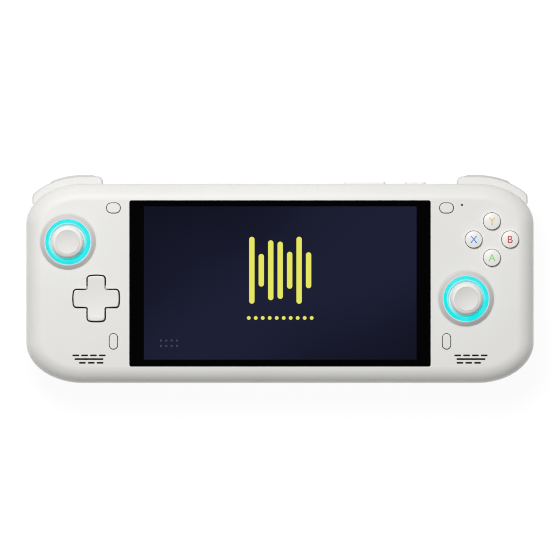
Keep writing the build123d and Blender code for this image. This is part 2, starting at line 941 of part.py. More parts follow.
def make_mid_frame():
    """A tray behind the display: a floor, a rim up to the shell, four ears and board standoffs."""
    width = panel_width + 2 * (frame_panel_gap + frame_rim)
    height = panel_height + 2 * (frame_panel_gap + frame_rim_top)
    tray = plate(0, 0, width, height, panel_corner + frame_rim_top, frame_low_z,
                 inner_front_z)
    tray -= plate(0, 0, panel_width + 2 * frame_panel_gap, panel_height + 2 * frame_panel_gap,
                  panel_corner, frame_top_z, inner_front_z)
    for x, y in ear_places:
        inner = width / 2 - frame_rim / 2
        side = 1 if x > 0 else -1
        low_x, high_x = sorted((side * inner, x))
        tray += brick(low_x, high_x, y - ear_radius, y + ear_radius, frame_low_z, frame_top_z)
        tray += post(x, y, ear_radius, frame_low_z, frame_top_z)
        tray -= post(x, y, small_screw_radius + thread_gap, frame_low_z, frame_top_z)
    for x, y in standoff_places:
        tray += post(x, y, standoff_radius, main_top_z, frame_low_z + frame_depth / 2)
        tray -= post(x, y, small_screw_radius + thread_gap, main_top_z, frame_low_z)
    return tray


# Sticks

def make_light_ring(x, y):
    """A clear ring: a rounded crown above the face and a flange under it."""
    crown = (ring_outer + ring_inner) / 2
    shoulder = ring_rise * ring_shoulder_share
    edges = [
        Line((ring_inner, -ring_sink), (ring_inner, shoulder)),
        ThreePointArc((ring_inner, shoulder), (crown, ring_rise), (ring_outer, shoulder)),
        Line((ring_outer, shoulder), (ring_outer, -wall)),
        Line((ring_outer, -wall), (ring_outer + ring_flange, -wall)),
        Line((ring_outer + ring_flange, -wall), (ring_outer + ring_flange, -wall - ring_flange_depth)),
        Line((ring_outer + ring_flange, -wall - ring_flange_depth),
             (ring_outer - ring_flange_depth, -wall - ring_flange_depth)),
        Line((ring_outer - ring_flange_depth, -wall - ring_flange_depth), (ring_inner, -ring_sink)),
    ]
    section = Plane.XZ * make_face(edges)
    return Pos(x, y, front_z) * revolve(section, Axis.Z)


def make_stick_base(x, y):
    """An open box round the gimbal, with a sensor on two of its sides."""
    low = pivot_z - stick_base_sink
    high = pivot_z + stick_base_rise
    size = stick_base_size
    bore = size - 2 * stick_base_wall
    base = plate(x, y, size, size, stick_base_corner, low, high)
    base -= plate(x, y, bore, bore, stick_base_corner - stick_base_wall, low + stick_base_wall, high)
    hole = Pos(x, y, pivot_z) * Rot(0, 90, 0) * Cylinder(gimbal_pin + pin_gap, size + overrun)
    base -= hole
    half = sensor_length / 2
    edge = size / 2
    base += brick(x - half, x + half, y - edge - sensor_width, y - edge, low, low + sensor_height)
    base += brick(x + edge, x + edge + sensor_width, y - half, y + half, low, low + sensor_height)
    return base


def make_stick_yoke(x, y):
    """The outer ring of the gimbal, with two pins along X."""
    yoke = post(0, 0, yoke_outer, -yoke_height / 2, yoke_height / 2)
    pin = Rot(0, 90, 0) * Cylinder(gimbal_pin, stick_base_size)
    yoke += pin
    yoke -= post(0, 0, yoke_inner, -yoke_height, yoke_height)
    yoke -= Rot(90, 0, 0) * Cylinder(gimbal_pin + pin_gap, 2 * stick_base_size)
    return Pos(x, y, pivot_z) * yoke


def make_stick_carriage(x, y):
    """The inner hub of the gimbal, with two pins along Y and the upright shaft."""
    hub = Cylinder(carriage_radius, carriage_height)
    hub += Rot(90, 0, 0) * Cylinder(gimbal_pin, 2 * yoke_outer - 2 * pin_gap)
    shaft_top = dome_radius + cap_depth / 2
    hub += post(0, 0, shaft_radius, 0, shaft_top)
    return Pos(x, y, pivot_z) * hub


def make_stick_cap(x, y):
    """The dished cap, its neck and the round skirt that hides the gimbal at every tilt."""
    top = cap_rise + pivot_sink
    under = top - cap_depth
    inner_dome = dome_radius - dome_wall
    angle = radians(dome_angle)
    low_out = (dome_radius * sin(angle), dome_radius * cos(angle))
    low_in = (inner_dome * sin(angle), inner_dome * cos(angle))
    neck_out = (neck_radius, sqrt(dome_radius ** 2 - neck_radius ** 2))
    mid = (angle + atan2(neck_radius, neck_out[1])) / 2
    dome_mid = (dome_radius * sin(mid), dome_radius * cos(mid))
    mid_in = angle / 2
    dome_mid_in = (inner_dome * sin(mid_in), inner_dome * cos(mid_in))
    rim = cap_radius - cap_edge
    dish = (cap_dish_radius * cap_dish_shares[0], top - cap_dish * cap_dish_shares[1])
    lip = (cap_dish_radius, top - cap_dish * cap_lip_share)
    crest = (rim, top - cap_edge * cap_crest_share)
    bulge = (cap_radius - cap_edge * cap_bulge_shares[0], top - cap_edge * cap_bulge_shares[1])
    shoulder = (cap_radius, top - cap_edge * cap_shoulder_share)
    foot = (cap_radius - cap_edge / 3, under)
    edges = [
        Line((0, inner_dome), (0, top - cap_dish)),
        ThreePointArc((0, top - cap_dish), dish, lip),
        ThreePointArc(lip, ((cap_dish_radius + rim) / 2, top), crest),
        ThreePointArc(crest, bulge, shoulder),
        Line(shoulder, foot),
        Line(foot, (neck_radius, under)),
        Line((neck_radius, under), neck_out),
        ThreePointArc(neck_out, dome_mid, low_out),
        Line(low_out, low_in),
        ThreePointArc(low_in, dome_mid_in, (0, inner_dome)),
    ]
    cap = revolve(Plane.XZ * make_face(edges), Axis.Z)
    socket_top = dome_radius + cap_depth / 2 + click_travel + click_spare
    cap -= post(0, 0, shaft_radius + pin_gap, 0, socket_top)
    return Pos(x, y, pivot_z) * cap


# Direction pad

def make_dpad():
    """The cross with its dished top, a flange under the shell and two lugs for the pivot."""
    top = front_z + dpad_rise
    low = top - dpad_length
    pad = prism(dpad_outline(0), low, top)
    pad = fillet(pad.edges().group_by(Axis.Z)[-1], dpad_edge)
    ball = (dpad_dish_radius ** 2 + dpad_dish ** 2) / (2 * dpad_dish)
    pad -= Pos(0, 0, top - dpad_dish + ball) * Sphere(ball)
    flange_top = inner_front_z - dpad_flange_drop
    pad += prism(dpad_outline(dpad_flange), flange_top - dpad_flange_depth, flange_top)
    pad -= prism(dpad_outline(-dpad_wall), low, top - dpad_top_wall)
    lug = brick(-cheek_half_width, cheek_half_width, cheek_inner, cheek_inner + cheek_depth,
                dpad_pivot_z - cheek_half_width, top - dpad_top_wall)
    pad += lug + mirror(lug, Plane.XZ)
    pad -= Pos(0, 0, dpad_pivot_z) * Rot(90, 0, 0) * Cylinder(gimbal_pin + pin_gap, dpad_arm)
    return Pos(dpad_x, dpad_y) * pad


def make_dpad_pivot():
    """The small cross-shaped pivot that lets the pad rock both ways."""
    reach = 2 * (cheek_inner + cheek_depth)
    hub = Sphere(dpad_hub) + Rot(90, 0, 0) * Cylinder(gimbal_pin, reach)
    hub += Rot(0, 90, 0) * Cylinder(gimbal_pin, reach)
    return Pos(dpad_x, dpad_y, dpad_pivot_z) * hub


def make_dpad_bracket():
    """A stirrup on the control board with two cheeks that hold the pivot's pins along X."""
    outer = cheek_inner + cheek_depth
    bracket = brick(-outer, outer, -cheek_half_width, cheek_half_width, board_z, board_z + cheek_depth)
    top = dpad_pivot_z + gimbal_pin + cheek_depth / 2
    for side in (-1, 1):
        low_x, high_x = sorted((side * cheek_inner, side * outer))
        bracket += brick(low_x, high_x, -cheek_half_width, cheek_half_width, board_z, top)
    bracket -= Pos(0, 0, dpad_pivot_z) * Rot(0, 90, 0) * Cylinder(gimbal_pin + pin_gap, overrun)
    return Pos(dpad_x, dpad_y) * bracket


def rubber_sheet(width, domes):
    """A rubber sheet with domes, resting on a control board."""
    sheet = plate(0, 0, width, width, rubber_margin, board_z, board_z + rubber_depth)
    top = dpad_low_z - face_button_travel - dome_clearance
    for x, y in domes:
        cone = Cone(rubber_dome_radius, rubber_dome_top, top - board_z,
                    align=(Align.CENTER, Align.CENTER, Align.MIN))
        sheet += Pos(x, y, board_z) * cone
    return sheet


def make_dpad_rubber():
    reach = dpad_span / 2 - rubber_dome_radius
    domes = [(reach, 0), (-reach, 0), (0, reach), (0, -reach)]
    sheet = rubber_sheet(dpad_span + rubber_margin, domes)
    opening = 2 * (cheek_inner + cheek_depth + dome_clearance)
    sheet -= plate(0, 0, opening, opening, rubber_margin / 2, board_z, front_z)
    return Pos(dpad_x, dpad_y) * sheet


def make_button_rubber():
    places = [(x - face_x, y - face_y) for x, y in face_places()]
    width = 2 * (face_pitch + rubber_dome_radius) + rubber_margin
    return Pos(face_x, face_y) * rubber_sheet(width, places)


# Face buttons and pill keys

def make_face_button(x, y):
    """A domed round button with a flange under the shell and a stem."""
    top = front_z + face_button_rise
    shoulder = top - face_button_crown
    flange_top = inner_front_z - flange_gap
    flange = face_button_radius + key_flange
    low = top - face_button_length
    edge = face_button_radius - face_button_crown / 2
    dome = (edge * button_dome_shares[0], top - face_button_crown * button_dome_shares[1])
    lip = (edge, top - face_button_crown * button_lip_share)
    turn = (edge + face_button_crown * button_turn_shares[0],
            top - face_button_crown * button_turn_shares[1])
    foot = (face_button_radius, shoulder - face_button_crown * button_foot_share)
    edges = [
        Line((0, low), (0, top)),
        ThreePointArc((0, top), dome, lip),
        ThreePointArc(lip, turn, foot),
        Line(foot, (face_button_radius, flange_top)),
        Line((face_button_radius, flange_top), (flange, flange_top)),
        Line((flange, flange_top), (flange, flange_top - key_flange_depth)),
        Line((flange, flange_top - key_flange_depth), (face_stem_radius, flange_top - key_flange_depth)),
        Line((face_stem_radius, flange_top - key_flange_depth), (face_stem_radius, low)),
        Line((face_stem_radius, low), (0, low)),
    ]
    return Pos(x, y) * revolve(Plane.XZ * make_face(edges), Axis.Z)


def make_pill_key(x, y, width, height, corner):
    """A small flat key with rounded ends, a flange and a stem down to its switch."""
    top = front_z + pill_rise
    flange_top = inner_front_z - flange_gap
    key = plate(x, y, width, height, corner, flange_top - key_flange_depth, top)
    key = fillet(key.edges().group_by(Axis.Z)[-1], pill_edge)
    key += plate(x, y, width + 2 * key_flange, height + 2 * key_flange, corner + key_flange,
                 flange_top - key_flange_depth, flange_top)
    key += post(x, y, pill_stem, pill_stem_z, flange_top)
    return key


def make_key_switches():
    """Four small switches on the control boards, one under each pill key."""
    switches = []
    for x, y, width, height, corner in pill_places():
        half = switch_side / 2
        body = brick(x - half, x + half, y - half, y + half, board_z, board_z + switch_height)
        switches.append(body + post(x, y, plunger_radius, board_z, pill_stem_z - pill_travel - switch_gap))
    return switches


# Shoulder buttons

def make_bumper():
    """The left bumper: a band that follows the shell's corner, hung on an upright pin."""
    plan = shoulder_band(bumper_tip_x, bumper_root_x, bumper_tip_y, bumper_inset, bumper_rise)
    side_x = -body_width * bumper_side_share
    outer = [vertex for vertex in plan.vertices() if vertex.Y > half_height or vertex.X < side_x
             and vertex.Y > bumper_tip_y + wall]
    plan = fillet(outer, bumper_corner)
    bumper = prism(plan, bumper_low_z, bumper_top_z)
    rims = [edge for edge in bumper.edges() if is_outer_rim(edge)]
    bumper = fillet(rims, bumper_edge)
    lug = post(-bumper_pin_x, bumper_pin_y, bumper_lug, bumper_low_z, bumper_top_z)
    lug += brick(-bumper_pin_x - bumper_lug, -bumper_pin_x + bumper_lug, bumper_pin_y,
                 half_height - bumper_inset + wall / 2, bumper_low_z, bumper_top_z)
    bumper += lug
    return bumper - post(-bumper_pin_x, bumper_pin_y, hinge_pin_radius + pin_gap, 0, front_z)


def is_outer_rim(edge):
    """Whether an edge is a level one on the outer side of a bumper, for rounding."""
    level = abs(edge.start_point().Z - edge.end_point().Z) < fit_gap
    middle = edge @ 0.5
    reach_x = max(0, abs(middle.X) - (half_width - corner_width)) / corner_width
    reach_y = max(0, middle.Y - (half_height - corner_height)) / corner_height
    return level and reach_x ** 2 + reach_y ** 2 > 1 + bumper_edge / corner_width


def trigger_section(low, high):
    """The trigger seen from the side, in Y and Z: scooped outside, cut back above its pin."""
    outer = half_height + trigger_rise
    middle = (low + high) / 2
    edges = [
        Line((trigger_back_y, low), (outer - trigger_scoop / 4, low)),
        ThreePointArc((outer - trigger_scoop / 4, low), (outer - trigger_scoop, middle - trigger_scoop / 2),
                      (outer, high)),
        Line((outer, high), (trigger_top_y, high)),
        Line((trigger_top_y, high), (trigger_back_y, high - trigger_scoop)),
        Line((trigger_back_y, high - trigger_scoop), (trigger_back_y, low)),
    ]
    return Sketch() + make_face(edges)


def trigger_plan():
    """The left trigger seen from above: the outline's corner, rounded at both ends."""
    width = trigger_tip_x - trigger_root_x
    window = Pos(-(trigger_tip_x + trigger_root_x) / 2, half_height) * Rectangle(width, corner_height)
    plan = outline(trigger_rise) & window
    ends = [vertex for vertex in plan.vertices() if vertex.Y > half_height]
    ends.sort(key=lambda vertex: vertex.X)
    plan = fillet(ends[-1], trigger_root_round)
    tip = min((vertex for vertex in plan.vertices() if vertex.Y > half_height), key=lambda vertex: vertex.X)
    return fillet(tip, trigger_tip_round)


def make_trigger():
    """The left trigger: a hollow shell, open towards the console, swung on its pin."""
    section = trigger_section(trigger_low_z, trigger_top_z)
    width = trigger_tip_x - trigger_root_x
    side = Plane.YZ.offset(-trigger_tip_x)
    trigger = extrude(side * section, width) & prism(trigger_plan(), 0, front_z)
    inner = extrude(Plane.YZ.offset(trigger_wall - trigger_tip_x)
                    * (Pos(-trigger_hollow, 0) * trigger_section(trigger_low_z + trigger_hollow,
                                                                  trigger_top_z - trigger_hollow)),
                    width - 2 * trigger_wall)
    inner &= prism(outline(trigger_rise - trigger_hollow), 0, front_z)
    inner += brick(trigger_wall - trigger_tip_x, -trigger_wall - trigger_root_x,
                   trigger_back_y - wall, trigger_pin_y, trigger_low_z + trigger_hollow,
                   trigger_top_z - trigger_hollow)
    trigger -= inner
    pin = Pos(-(trigger_tip_x + trigger_root_x) / 2, trigger_pin_y, trigger_pin_z) * Rot(0, 90, 0)
    return trigger - pin * Cylinder(hinge_pin_radius + pin_gap, width - 2 * pin_cover)


def make_shoulder_bracket():
    """A folded bracket: foot, web and top plate, with two cheeks for the trigger's pin."""
    low_x = trigger_wall + bracket_side_gap - trigger_tip_x
    high_x = -trigger_root_x - trigger_wall - bracket_side_gap
    web_high = bracket_web_y + bracket_metal
    top_z = bumper_low_z - flange_gap
    plate_y = trigger_back_y - shoulder_gap
    bracket = brick(low_x, high_x, web_high - bracket_foot - bracket_metal, web_high,
                    bracket_foot_z, bracket_foot_z + bracket_metal)
    bracket += brick(low_x, high_x, bracket_web_y, web_high, bracket_foot_z, top_z)
    bracket += brick(low_x, -bumper_pin_x + bumper_lug, bracket_web_y, plate_y, top_z - bracket_metal, top_z)
    for cheek_low in (low_x, high_x - bracket_metal):
        cheek = brick(cheek_low, cheek_low + bracket_metal, bracket_web_y, trigger_pin_y,
                      trigger_pin_z - cheek_radius, trigger_pin_z + cheek_radius)
        nose = Pos(cheek_low + bracket_metal / 2, trigger_pin_y, trigger_pin_z) * Rot(0, 90, 0)
        bracket += cheek + nose * Cylinder(cheek_radius, bracket_metal)
    middle = Pos((low_x + high_x) / 2, trigger_pin_y, trigger_pin_z) * Rot(0, 90, 0)
    bracket -= middle * Cylinder(hinge_pin_radius + thread_gap, high_x - low_x + overrun)
    bracket -= post(-bumper_pin_x, bumper_pin_y, hinge_pin_radius + thread_gap, bracket_foot_z, front_z)
    return bracket


def make_hinge_pins():
    """Two pins on each side: one along X for the trigger, one upright for the bumper."""
    width = trigger_tip_x - trigger_root_x
    middle = -(trigger_tip_x + trigger_root_x) / 2
    length = width - 2 * (pin_cover + pin_gap)
    level = Pos(middle, trigger_pin_y, trigger_pin_z) * Rot(0, 90, 0) * Cylinder(hinge_pin_radius, length)
    upright = post(-bumper_pin_x, bumper_pin_y, hinge_pin_radius,
                   bumper_low_z - flange_gap - bracket_metal, bumper_top_z)
    return [level, upright, other_side(level), other_side(upright)]


def make_trigger_springs():
    """A coiled return spring round each trigger's pin."""
    middle = -(trigger_tip_x + trigger_root_x) / 2
    length = spring_turns * spring_pitch
    path = Helix(spring_pitch, length, spring_coil)
    wire = sweep(Plane(path @ 0, z_dir=path % 0) * Circle(spring_wire), path)
    spring = Pos(middle - length / 2, trigger_pin_y, trigger_pin_z) * Rot(0, 90, 0) * wire
    return [spring, other_side(spring)]


def make_bumper_switches():
    """A switch behind each bumper, on the control board's tab."""
    half = bumper_switch_width / 2
    high = switch_tab_y
    body = brick(-switch_tab_x - half, -switch_tab_x + half, high - bumper_switch_depth, high,
                 board_z, board_z + bumper_switch_height)
    level = Pos(-switch_tab_x, high + bumper_switch_reach / 2, board_z + bumper_switch_height / 2)
    switch = body + level * Rot(90, 0, 0) * Cylinder(plunger_radius, bumper_switch_reach)
    return [switch, other_side(switch)]


# Boards and what stands on them

def side_board(side):
    """A control board: a rounded plate with two tabs, cut out round the screw posts."""
    width = side_board_tip_x - side_board_root_x
    height = side_board_top_y - side_board_low_y
    middle = (side_board_tip_x + side_board_root_x) / 2
    plan = Pos(middle, (side_board_top_y + side_board_low_y) / 2) \
        * RectangleRounded(width, height, side_board_corner)
    tab_low = side_board_top_y - side_board_corner
    tab = Rectangle(switch_tab_width, switch_tab_y - tab_low)
    plan += Pos(switch_tab_x, (tab_low + switch_tab_y) / 2) * tab
    key_width = 2 * (key_tab_x - side_board_root_x)
    plan += Pos(key_tab_x, (tab_low + key_tab_y) / 2) * Rectangle(key_width, key_tab_y - tab_low)
    plan -= Pos(grip_boss_x, grip_boss_y) * Circle(shell_post_radius + shell_hole_gap)
    board = prism(plan, board_z - board_depth, board_z)
    return board if side > 0 else other_side(board)


def make_main_board():
    """The main board, with a shield can and memory chips on its upper side."""
    width = main_board_right - main_board_left
    height = main_board_high - main_board_low
    middle_x = (main_board_right + main_board_left) / 2
    middle_y = (main_board_high + main_board_low) / 2
    board = plate(middle_x, middle_y, width, height, standoff_radius, main_low_z, main_top_z)
    board += plate(chip_x, chip_y, chip_width, chip_height, rubber_depth, main_top_z,
                   main_top_z + switch_height)
    for index in range(3):
        x = chip_x + chip_width * (1 + index * memory_pitch_share)
        board += brick(x - die_width / 2, x + die_width / 2, chip_y - die_height / 2,
                       chip_y + die_height / 2, main_top_z, main_top_z + die_depth)
    for x, y in standoff_places:
        board -= post(x, y, small_screw_radius + thread_gap, main_low_z, main_top_z)
    return board


def make_processor():
    """The processor's package with the bare die on it, facing the back."""
    package = plate(chip_x, chip_y, chip_width, chip_height, die_depth, main_low_z - chip_depth, main_low_z)
    return package + plate(chip_x, chip_y, die_width, die_height, die_depth / 2, die_low_z, main_low_z)


def make_heat_pipe():
    """A cold plate on the die and a flattened pipe that bends round to the fins."""
    low = die_low_z - plate_depth
    cold_plate = plate(chip_x, chip_y, plate_side, plate_side, die_depth, low, die_low_z)
    middle = low - pipe_depth / 2
    fins_y = fin_low_y + fin_length / 2
    start = Vector(chip_x, chip_y - plate_side / 2, middle)
    path = FilletPolyline(start, (chip_x, fins_y, middle), (fan_x + fan_width / 2, fins_y, middle),
                          radius=pipe_bend)
    flat = RectangleRounded(pipe_width, pipe_depth, pipe_depth * pipe_round_share)
    return cold_plate + sweep(Plane(start, x_dir=(1, 0, 0), z_dir=(0, 1, 0)) * flat, path)


def make_heatsink_fins():
    """A row of thin plates under one base, between the fan and the vents."""
    left = fan_x - fan_width / 2
    right = fan_x + fan_width / 2
    low = fin_top_z - fin_depth
    fins = brick(left, right, fin_low_y, fin_low_y + fin_length, fin_top_z - fin_base, fin_top_z)
    count = int(fan_width / fin_pitch) + 1
    for index in range(count):
        x = fan_x + (index - (count - 1) / 2) * fin_pitch
        fins += brick(x - fin_thickness / 2, x + fin_thickness / 2, fin_low_y, fin_low_y + fin_length,
                      low, fin_top_z)
    return fins


def make_fan_housing():
    """The blower's housing: intake below, outlet towards the fins, and the fixed shaft."""
    low_y = fan_y - fan_bore - fan_wall
    left = fan_x - fan_width / 2
    right = fan_x + fan_width / 2
    housing = brick(left, right, low_y, fan_high_y, fan_low_z, fan_top_z)
    chamber = post(fan_x, fan_y, fan_bore, fan_low_z + fan_wall, fan_top_z - fan_wall)
    chamber += brick(left + 2 * fan_wall, fan_x + fan_bore, fan_y, fan_high_y + wall,
                     fan_low_z + fan_wall, fan_top_z - fan_wall)
    housing -= chamber
    housing -= post(fan_x, fan_y, fan_intake, 0, fan_low_z + fan_wall)
    return housing + post(fan_x, fan_y, fan_shaft, impeller_low_z + fan_wall, fan_top_z - fan_wall)


def make_fan_impeller():
    """A hub with swept blades, bored for the housing's shaft."""
    impeller = post(0, 0, fan_hub, impeller_low_z, impeller_top_z)
    impeller += [Rot(0, 0, 360 * index / blade_count) * fan_blade() for index in range(blade_count)]
    impeller -= post(0, 0, fan_shaft + pin_gap, impeller_low_z + fan_wall - pin_gap, impeller_top_z)
    return Pos(fan_x, fan_y) * impeller


def fan_blade():
    """One curved blade, from inside the hub to the tip circle."""
    root = fan_hub * blade_root_share
    middle = (root + fan_tip) / 2
    turn = radians(blade_sweep)
    bend_turn = turn * blade_bend_share
    bend = (middle * cos(bend_turn), middle * sin(bend_turn))
    tip = (fan_tip * cos(turn), fan_tip * sin(turn))
    arc = ThreePointArc((root, 0), bend, tip)
    return prism(Sketch() + trace(arc, blade_thickness), impeller_low_z, impeller_top_z)


def make_battery_pack():
    width = battery_right - battery_left
    height = battery_high - battery_low
    pack = plate((battery_left + battery_right) / 2, (battery_low + battery_high) / 2, width, height,
                 battery_corner, frame_low_z - battery_depth, frame_low_z)
    return fillet(pack.edges().group_by(Axis.Z)[0], battery_corner / 2)


def make_drive():
    """A solid-state drive in its socket, under the main board."""
    right = drive_left + drive_length
    high = drive_low + drive_width
    top = main_low_z - drive_socket_depth
    drive = brick(drive_left, right, drive_low, high, top - drive_depth, top)
    drive += brick(drive_left, drive_left + drive_socket_length, drive_low, high, top, main_low_z)
    drive += brick(right - drive_chip_margin, right, drive_low + drive_width / 2 - drive_chip_margin / 2,
                   drive_low + drive_width / 2 + drive_chip_margin / 2, top, main_low_z)
    chip = drive_length / 2 - 2 * drive_chip_margin
    for left in (drive_left + 2 * drive_chip_margin, drive_left + drive_length / 2 + drive_chip_margin / 2):
        drive += brick(left, left + chip, drive_low + drive_chip_margin, high - drive_chip_margin,
                       top - drive_depth - drive_chip_depth, top)
    return drive


def make_speaker():
    """The left speaker's box, against the inside of the front shell."""
    low = inner_front_z - speaker_depth
    return plate(-speaker_x, speaker_y, speaker_width, speaker_height, speaker_corner, low, inner_front_z)


def make_motor():
    """The left vibration motor, a sealed box on its pad in the grip."""
    motor = plate(-motor_x, motor_y, motor_length, motor_width, motor_corner, motor_seat,
                  motor_seat + motor_depth)
    return fillet(motor.edges().group_by(Axis.Z)[-1], motor_corner / 2)


# Ports and keys on the edges

def make_usb_port():
    """The receptacle's steel tube with its tongue."""
    z = main_low_z - usb_height / 2
    mouth = usb_recess - half_height
    back = mouth + usb_depth
    shape = SlotOverall(usb_width, usb_height)
    bore = SlotOverall(usb_width - 2 * usb_wall, usb_height - 2 * usb_wall)
    port = across(mouth, back, Pos(usb_x, z) * shape)
    port -= across(mouth, back - usb_wall, Pos(usb_x, z) * bore)
    tongue = Pos(usb_x, z) * Rectangle(usb_tongue_width, usb_tongue_height)
    return port + across(back - usb_tongue_length - usb_wall, back, tongue)


def make_headphone_jack():
    """The jack's body with its round collar and its bore."""
    z = main_low_z - jack_height / 2
    mouth = jack_recess - half_height
    body_low = wall + fit_gap - half_height
    jack = brick(jack_x - jack_width / 2, jack_x + jack_width / 2, body_low, mouth + jack_length,
                 main_low_z - jack_height, main_low_z)
    jack += across(mouth, body_low, Pos(jack_x, z) * Circle(jack_collar))
    return jack - across(mouth, mouth + jack_bore_length, Pos(jack_x, z) * Circle(jack_bore))


def make_card_reader():
    """A flat card reader with its slot towards the bottom edge."""
    z = main_low_z - card_height / 2
    low = wall + fit_gap - half_height
    reader = brick(card_x - card_width / 2, card_x + card_width / 2, low, low + card_length,
                   main_low_z - card_height, main_low_z)
    slot = Pos(card_x, z) * Rectangle(card_slot_width, card_slot_height)
    return reader - across(low, low + card_length - wall, slot)


def make_edge_key(x, width):
    """A key of the top edge: a rounded bar with a flange inside the wall."""
    bar = Rectangle(width, edge_key_height)
    bar = fillet(bar.vertices(), edge_key_height * edge_key_round_share)
    flange_high = half_height - wall - edge_key_play
    flange_low = flange_high - edge_key_flange_depth
    key = across(flange_low, half_height + edge_key_rise, Pos(x, edge_key_z) * bar)
    key = fillet(key.edges().group_by(Axis.Y)[-1], edge_key_edge)
    flange = Rectangle(width + 2 * edge_key_flange, edge_key_height + 2 * edge_key_flange)
    return key + across(flange_low, flange_high, Pos(x, edge_key_z) * flange)


def make_key_board():
    """The small board behind the top edge's keys, with three switches."""
    board = brick(key_board_left, key_board_right, key_board_y, key_board_y + key_board_depth,
                  key_board_low, key_board_high)
    face = key_board_y + key_board_depth
    half = switch_side / 2
    reach = rocker_width * rocker_switch_share
    for x in (rocker_x - reach, rocker_x + reach, power_x):
        board += brick(x - half, x + half, face - key_board_depth / 2, face + key_switch_depth,
                       edge_key_z - half, edge_key_z + half)
    return board


# Screws

def make_screw(x, y, seat, head_radius, head_height, radius, length):
    """A screw with a crossed recess in its head; the head hangs below its seat."""
    screw = post(x, y, head_radius, seat - head_height, seat) + post(x, y, radius, seat, seat + length)
    arm = head_radius * recess_side
    cross = Pos(x, y) * (Rectangle(arm, arm / 4) + Rectangle(arm / 4, arm))
    return screw - prism(cross, seat - head_height, seat - head_height * recess_side * recess_depth)


def make_shell_screws():
    screws = []
    for x, y in shell_screw_places:
        for side in (-1, 1):
            screws.append(make_screw(side * x, y, shell_screw_head_z, shell_head_radius, shell_head_height,
                                     shell_screw_radius, shell_screw_length))
    return screws


def make_frame_screws():
    screws = []
    for x, y in ear_places:
        screws.append(make_screw(x, y, frame_low_z, small_head_radius, small_head_height,
                                 small_screw_radius, small_screw_length))
    for x, y in standoff_places:
        screws.append(make_screw(x, y, main_low_z, small_head_radius, small_head_height,
                                 small_screw_radius, small_screw_length))
    return screws


def save_sticks():
    for side, (x, y) in zip(("left", "right"), stick_places):
        save(side + "_light_ring", make_light_ring(x, y))
        save(side + "_stick_base", make_stick_base(x, y))
        save(side + "_stick_yoke", make_stick_yoke(x, y))
        save(side + "_stick_carriage", make_stick_carriage(x, y))
        save(side + "_stick_cap", make_stick_cap(x, y))


def save_buttons():
    for name, (x, y) in zip("abxy", face_places()):
        save("button_" + name, make_face_button(x, y))
    names = ("upper_left_key", "upper_right_key", "lower_left_key", "lower_right_key")
    for name, place in zip(names, pill_places()):
        save(name, make_pill_key(*place))
    save("dpad", make_dpad())
    save("dpad_pivot", make_dpad_pivot())
    save("dpad_bracket", make_dpad_bracket())
    save("dpad_rubber", make_dpad_rubber())
    save("button_rubber", make_button_rubber())
    save_group("key_switches", make_key_switches())


def save_pairs():
    """Pieces that are mirror images of each other, one node on each side."""
    makers = {
        "bumper": make_bumper,
        "trigger": make_trigger,
        "shoulder_bracket": make_shoulder_bracket,
        "speaker": make_speaker,
        "vibration_motor": make_motor,
    }
    for name, maker in makers.items():
        piece = maker()
        save("left_" + name, piece)
        save("right_" + name, other_side(piece))
    save("left_control_board", side_board(-1))
    save("right_control_board", side_board(1))
    save_group("hinge_pins", make_hinge_pins())
    save_group("trigger_springs", make_trigger_springs())
    save_group("bumper_switches", make_bumper_switches())


def main():
    os.makedirs("parts", exist_ok=True)
    save("front_shell", make_front_shell())
    save("rear_shell", make_rear_shell())
    save("cover_glass", make_cover_glass())
    save("display_panel", make_display_panel())
    save("mid_frame", make_mid_frame())
    save_sticks()
    save_buttons()
    save_pairs()
    save("main_board", make_main_board())
    save("processor", make_processor())
    save("heat_pipe", make_heat_pipe())
    save("heatsink_fins", make_heatsink_fins())
    save("fan_housing", make_fan_housing())
    save("fan_impeller", make_fan_impeller())
    save("battery_pack", make_battery_pack())
    save("solid_state_drive", make_drive())
    save("usb_c_port", make_usb_port())
    save("headphone_jack", make_headphone_jack())
    save("card_reader", make_card_reader())
    save("volume_rocker", make_edge_key(rocker_x, rocker_width))
    save("power_button", make_edge_key(power_x, power_width))
    save("side_key_board", make_key_board())
    save_group("shell_screws", make_shell_screws())
    save_group("frame_screws", make_frame_screws())


main()
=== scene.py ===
# %% [markdown]
# A handheld game console lies on its back, and the camera looks straight down on its screen.
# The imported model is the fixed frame: every piece already has its real size and place in metres,
# so this script only gives the pieces their finish, prints the legends and sets up the studio.

# %% Load the frame
import json

import bmesh
import bpy
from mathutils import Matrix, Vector
from mathutils.bvhtree import BVHTree


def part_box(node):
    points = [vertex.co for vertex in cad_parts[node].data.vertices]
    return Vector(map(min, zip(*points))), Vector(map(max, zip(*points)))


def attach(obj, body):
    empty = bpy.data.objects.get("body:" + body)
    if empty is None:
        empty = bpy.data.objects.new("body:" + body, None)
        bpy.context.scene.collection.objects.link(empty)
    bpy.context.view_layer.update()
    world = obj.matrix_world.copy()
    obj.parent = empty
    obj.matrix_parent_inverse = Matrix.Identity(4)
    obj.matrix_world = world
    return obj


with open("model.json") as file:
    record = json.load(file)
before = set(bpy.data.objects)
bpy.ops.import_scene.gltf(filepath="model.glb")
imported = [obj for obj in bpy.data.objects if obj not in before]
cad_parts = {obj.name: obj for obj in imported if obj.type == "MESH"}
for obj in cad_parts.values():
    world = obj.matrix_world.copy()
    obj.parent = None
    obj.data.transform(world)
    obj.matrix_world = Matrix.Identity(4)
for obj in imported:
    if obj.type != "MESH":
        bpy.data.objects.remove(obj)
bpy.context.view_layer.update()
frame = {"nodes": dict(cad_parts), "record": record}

nodes = frame["nodes"]
mm = 0.001
print("pieces in the frame:", len(nodes))

# %% [markdown]
# Colours are read from the photograph as ordinary screen values from 0 to 255. Blender reckons in
# linear light, so each channel goes through the same curve that a screen undoes.

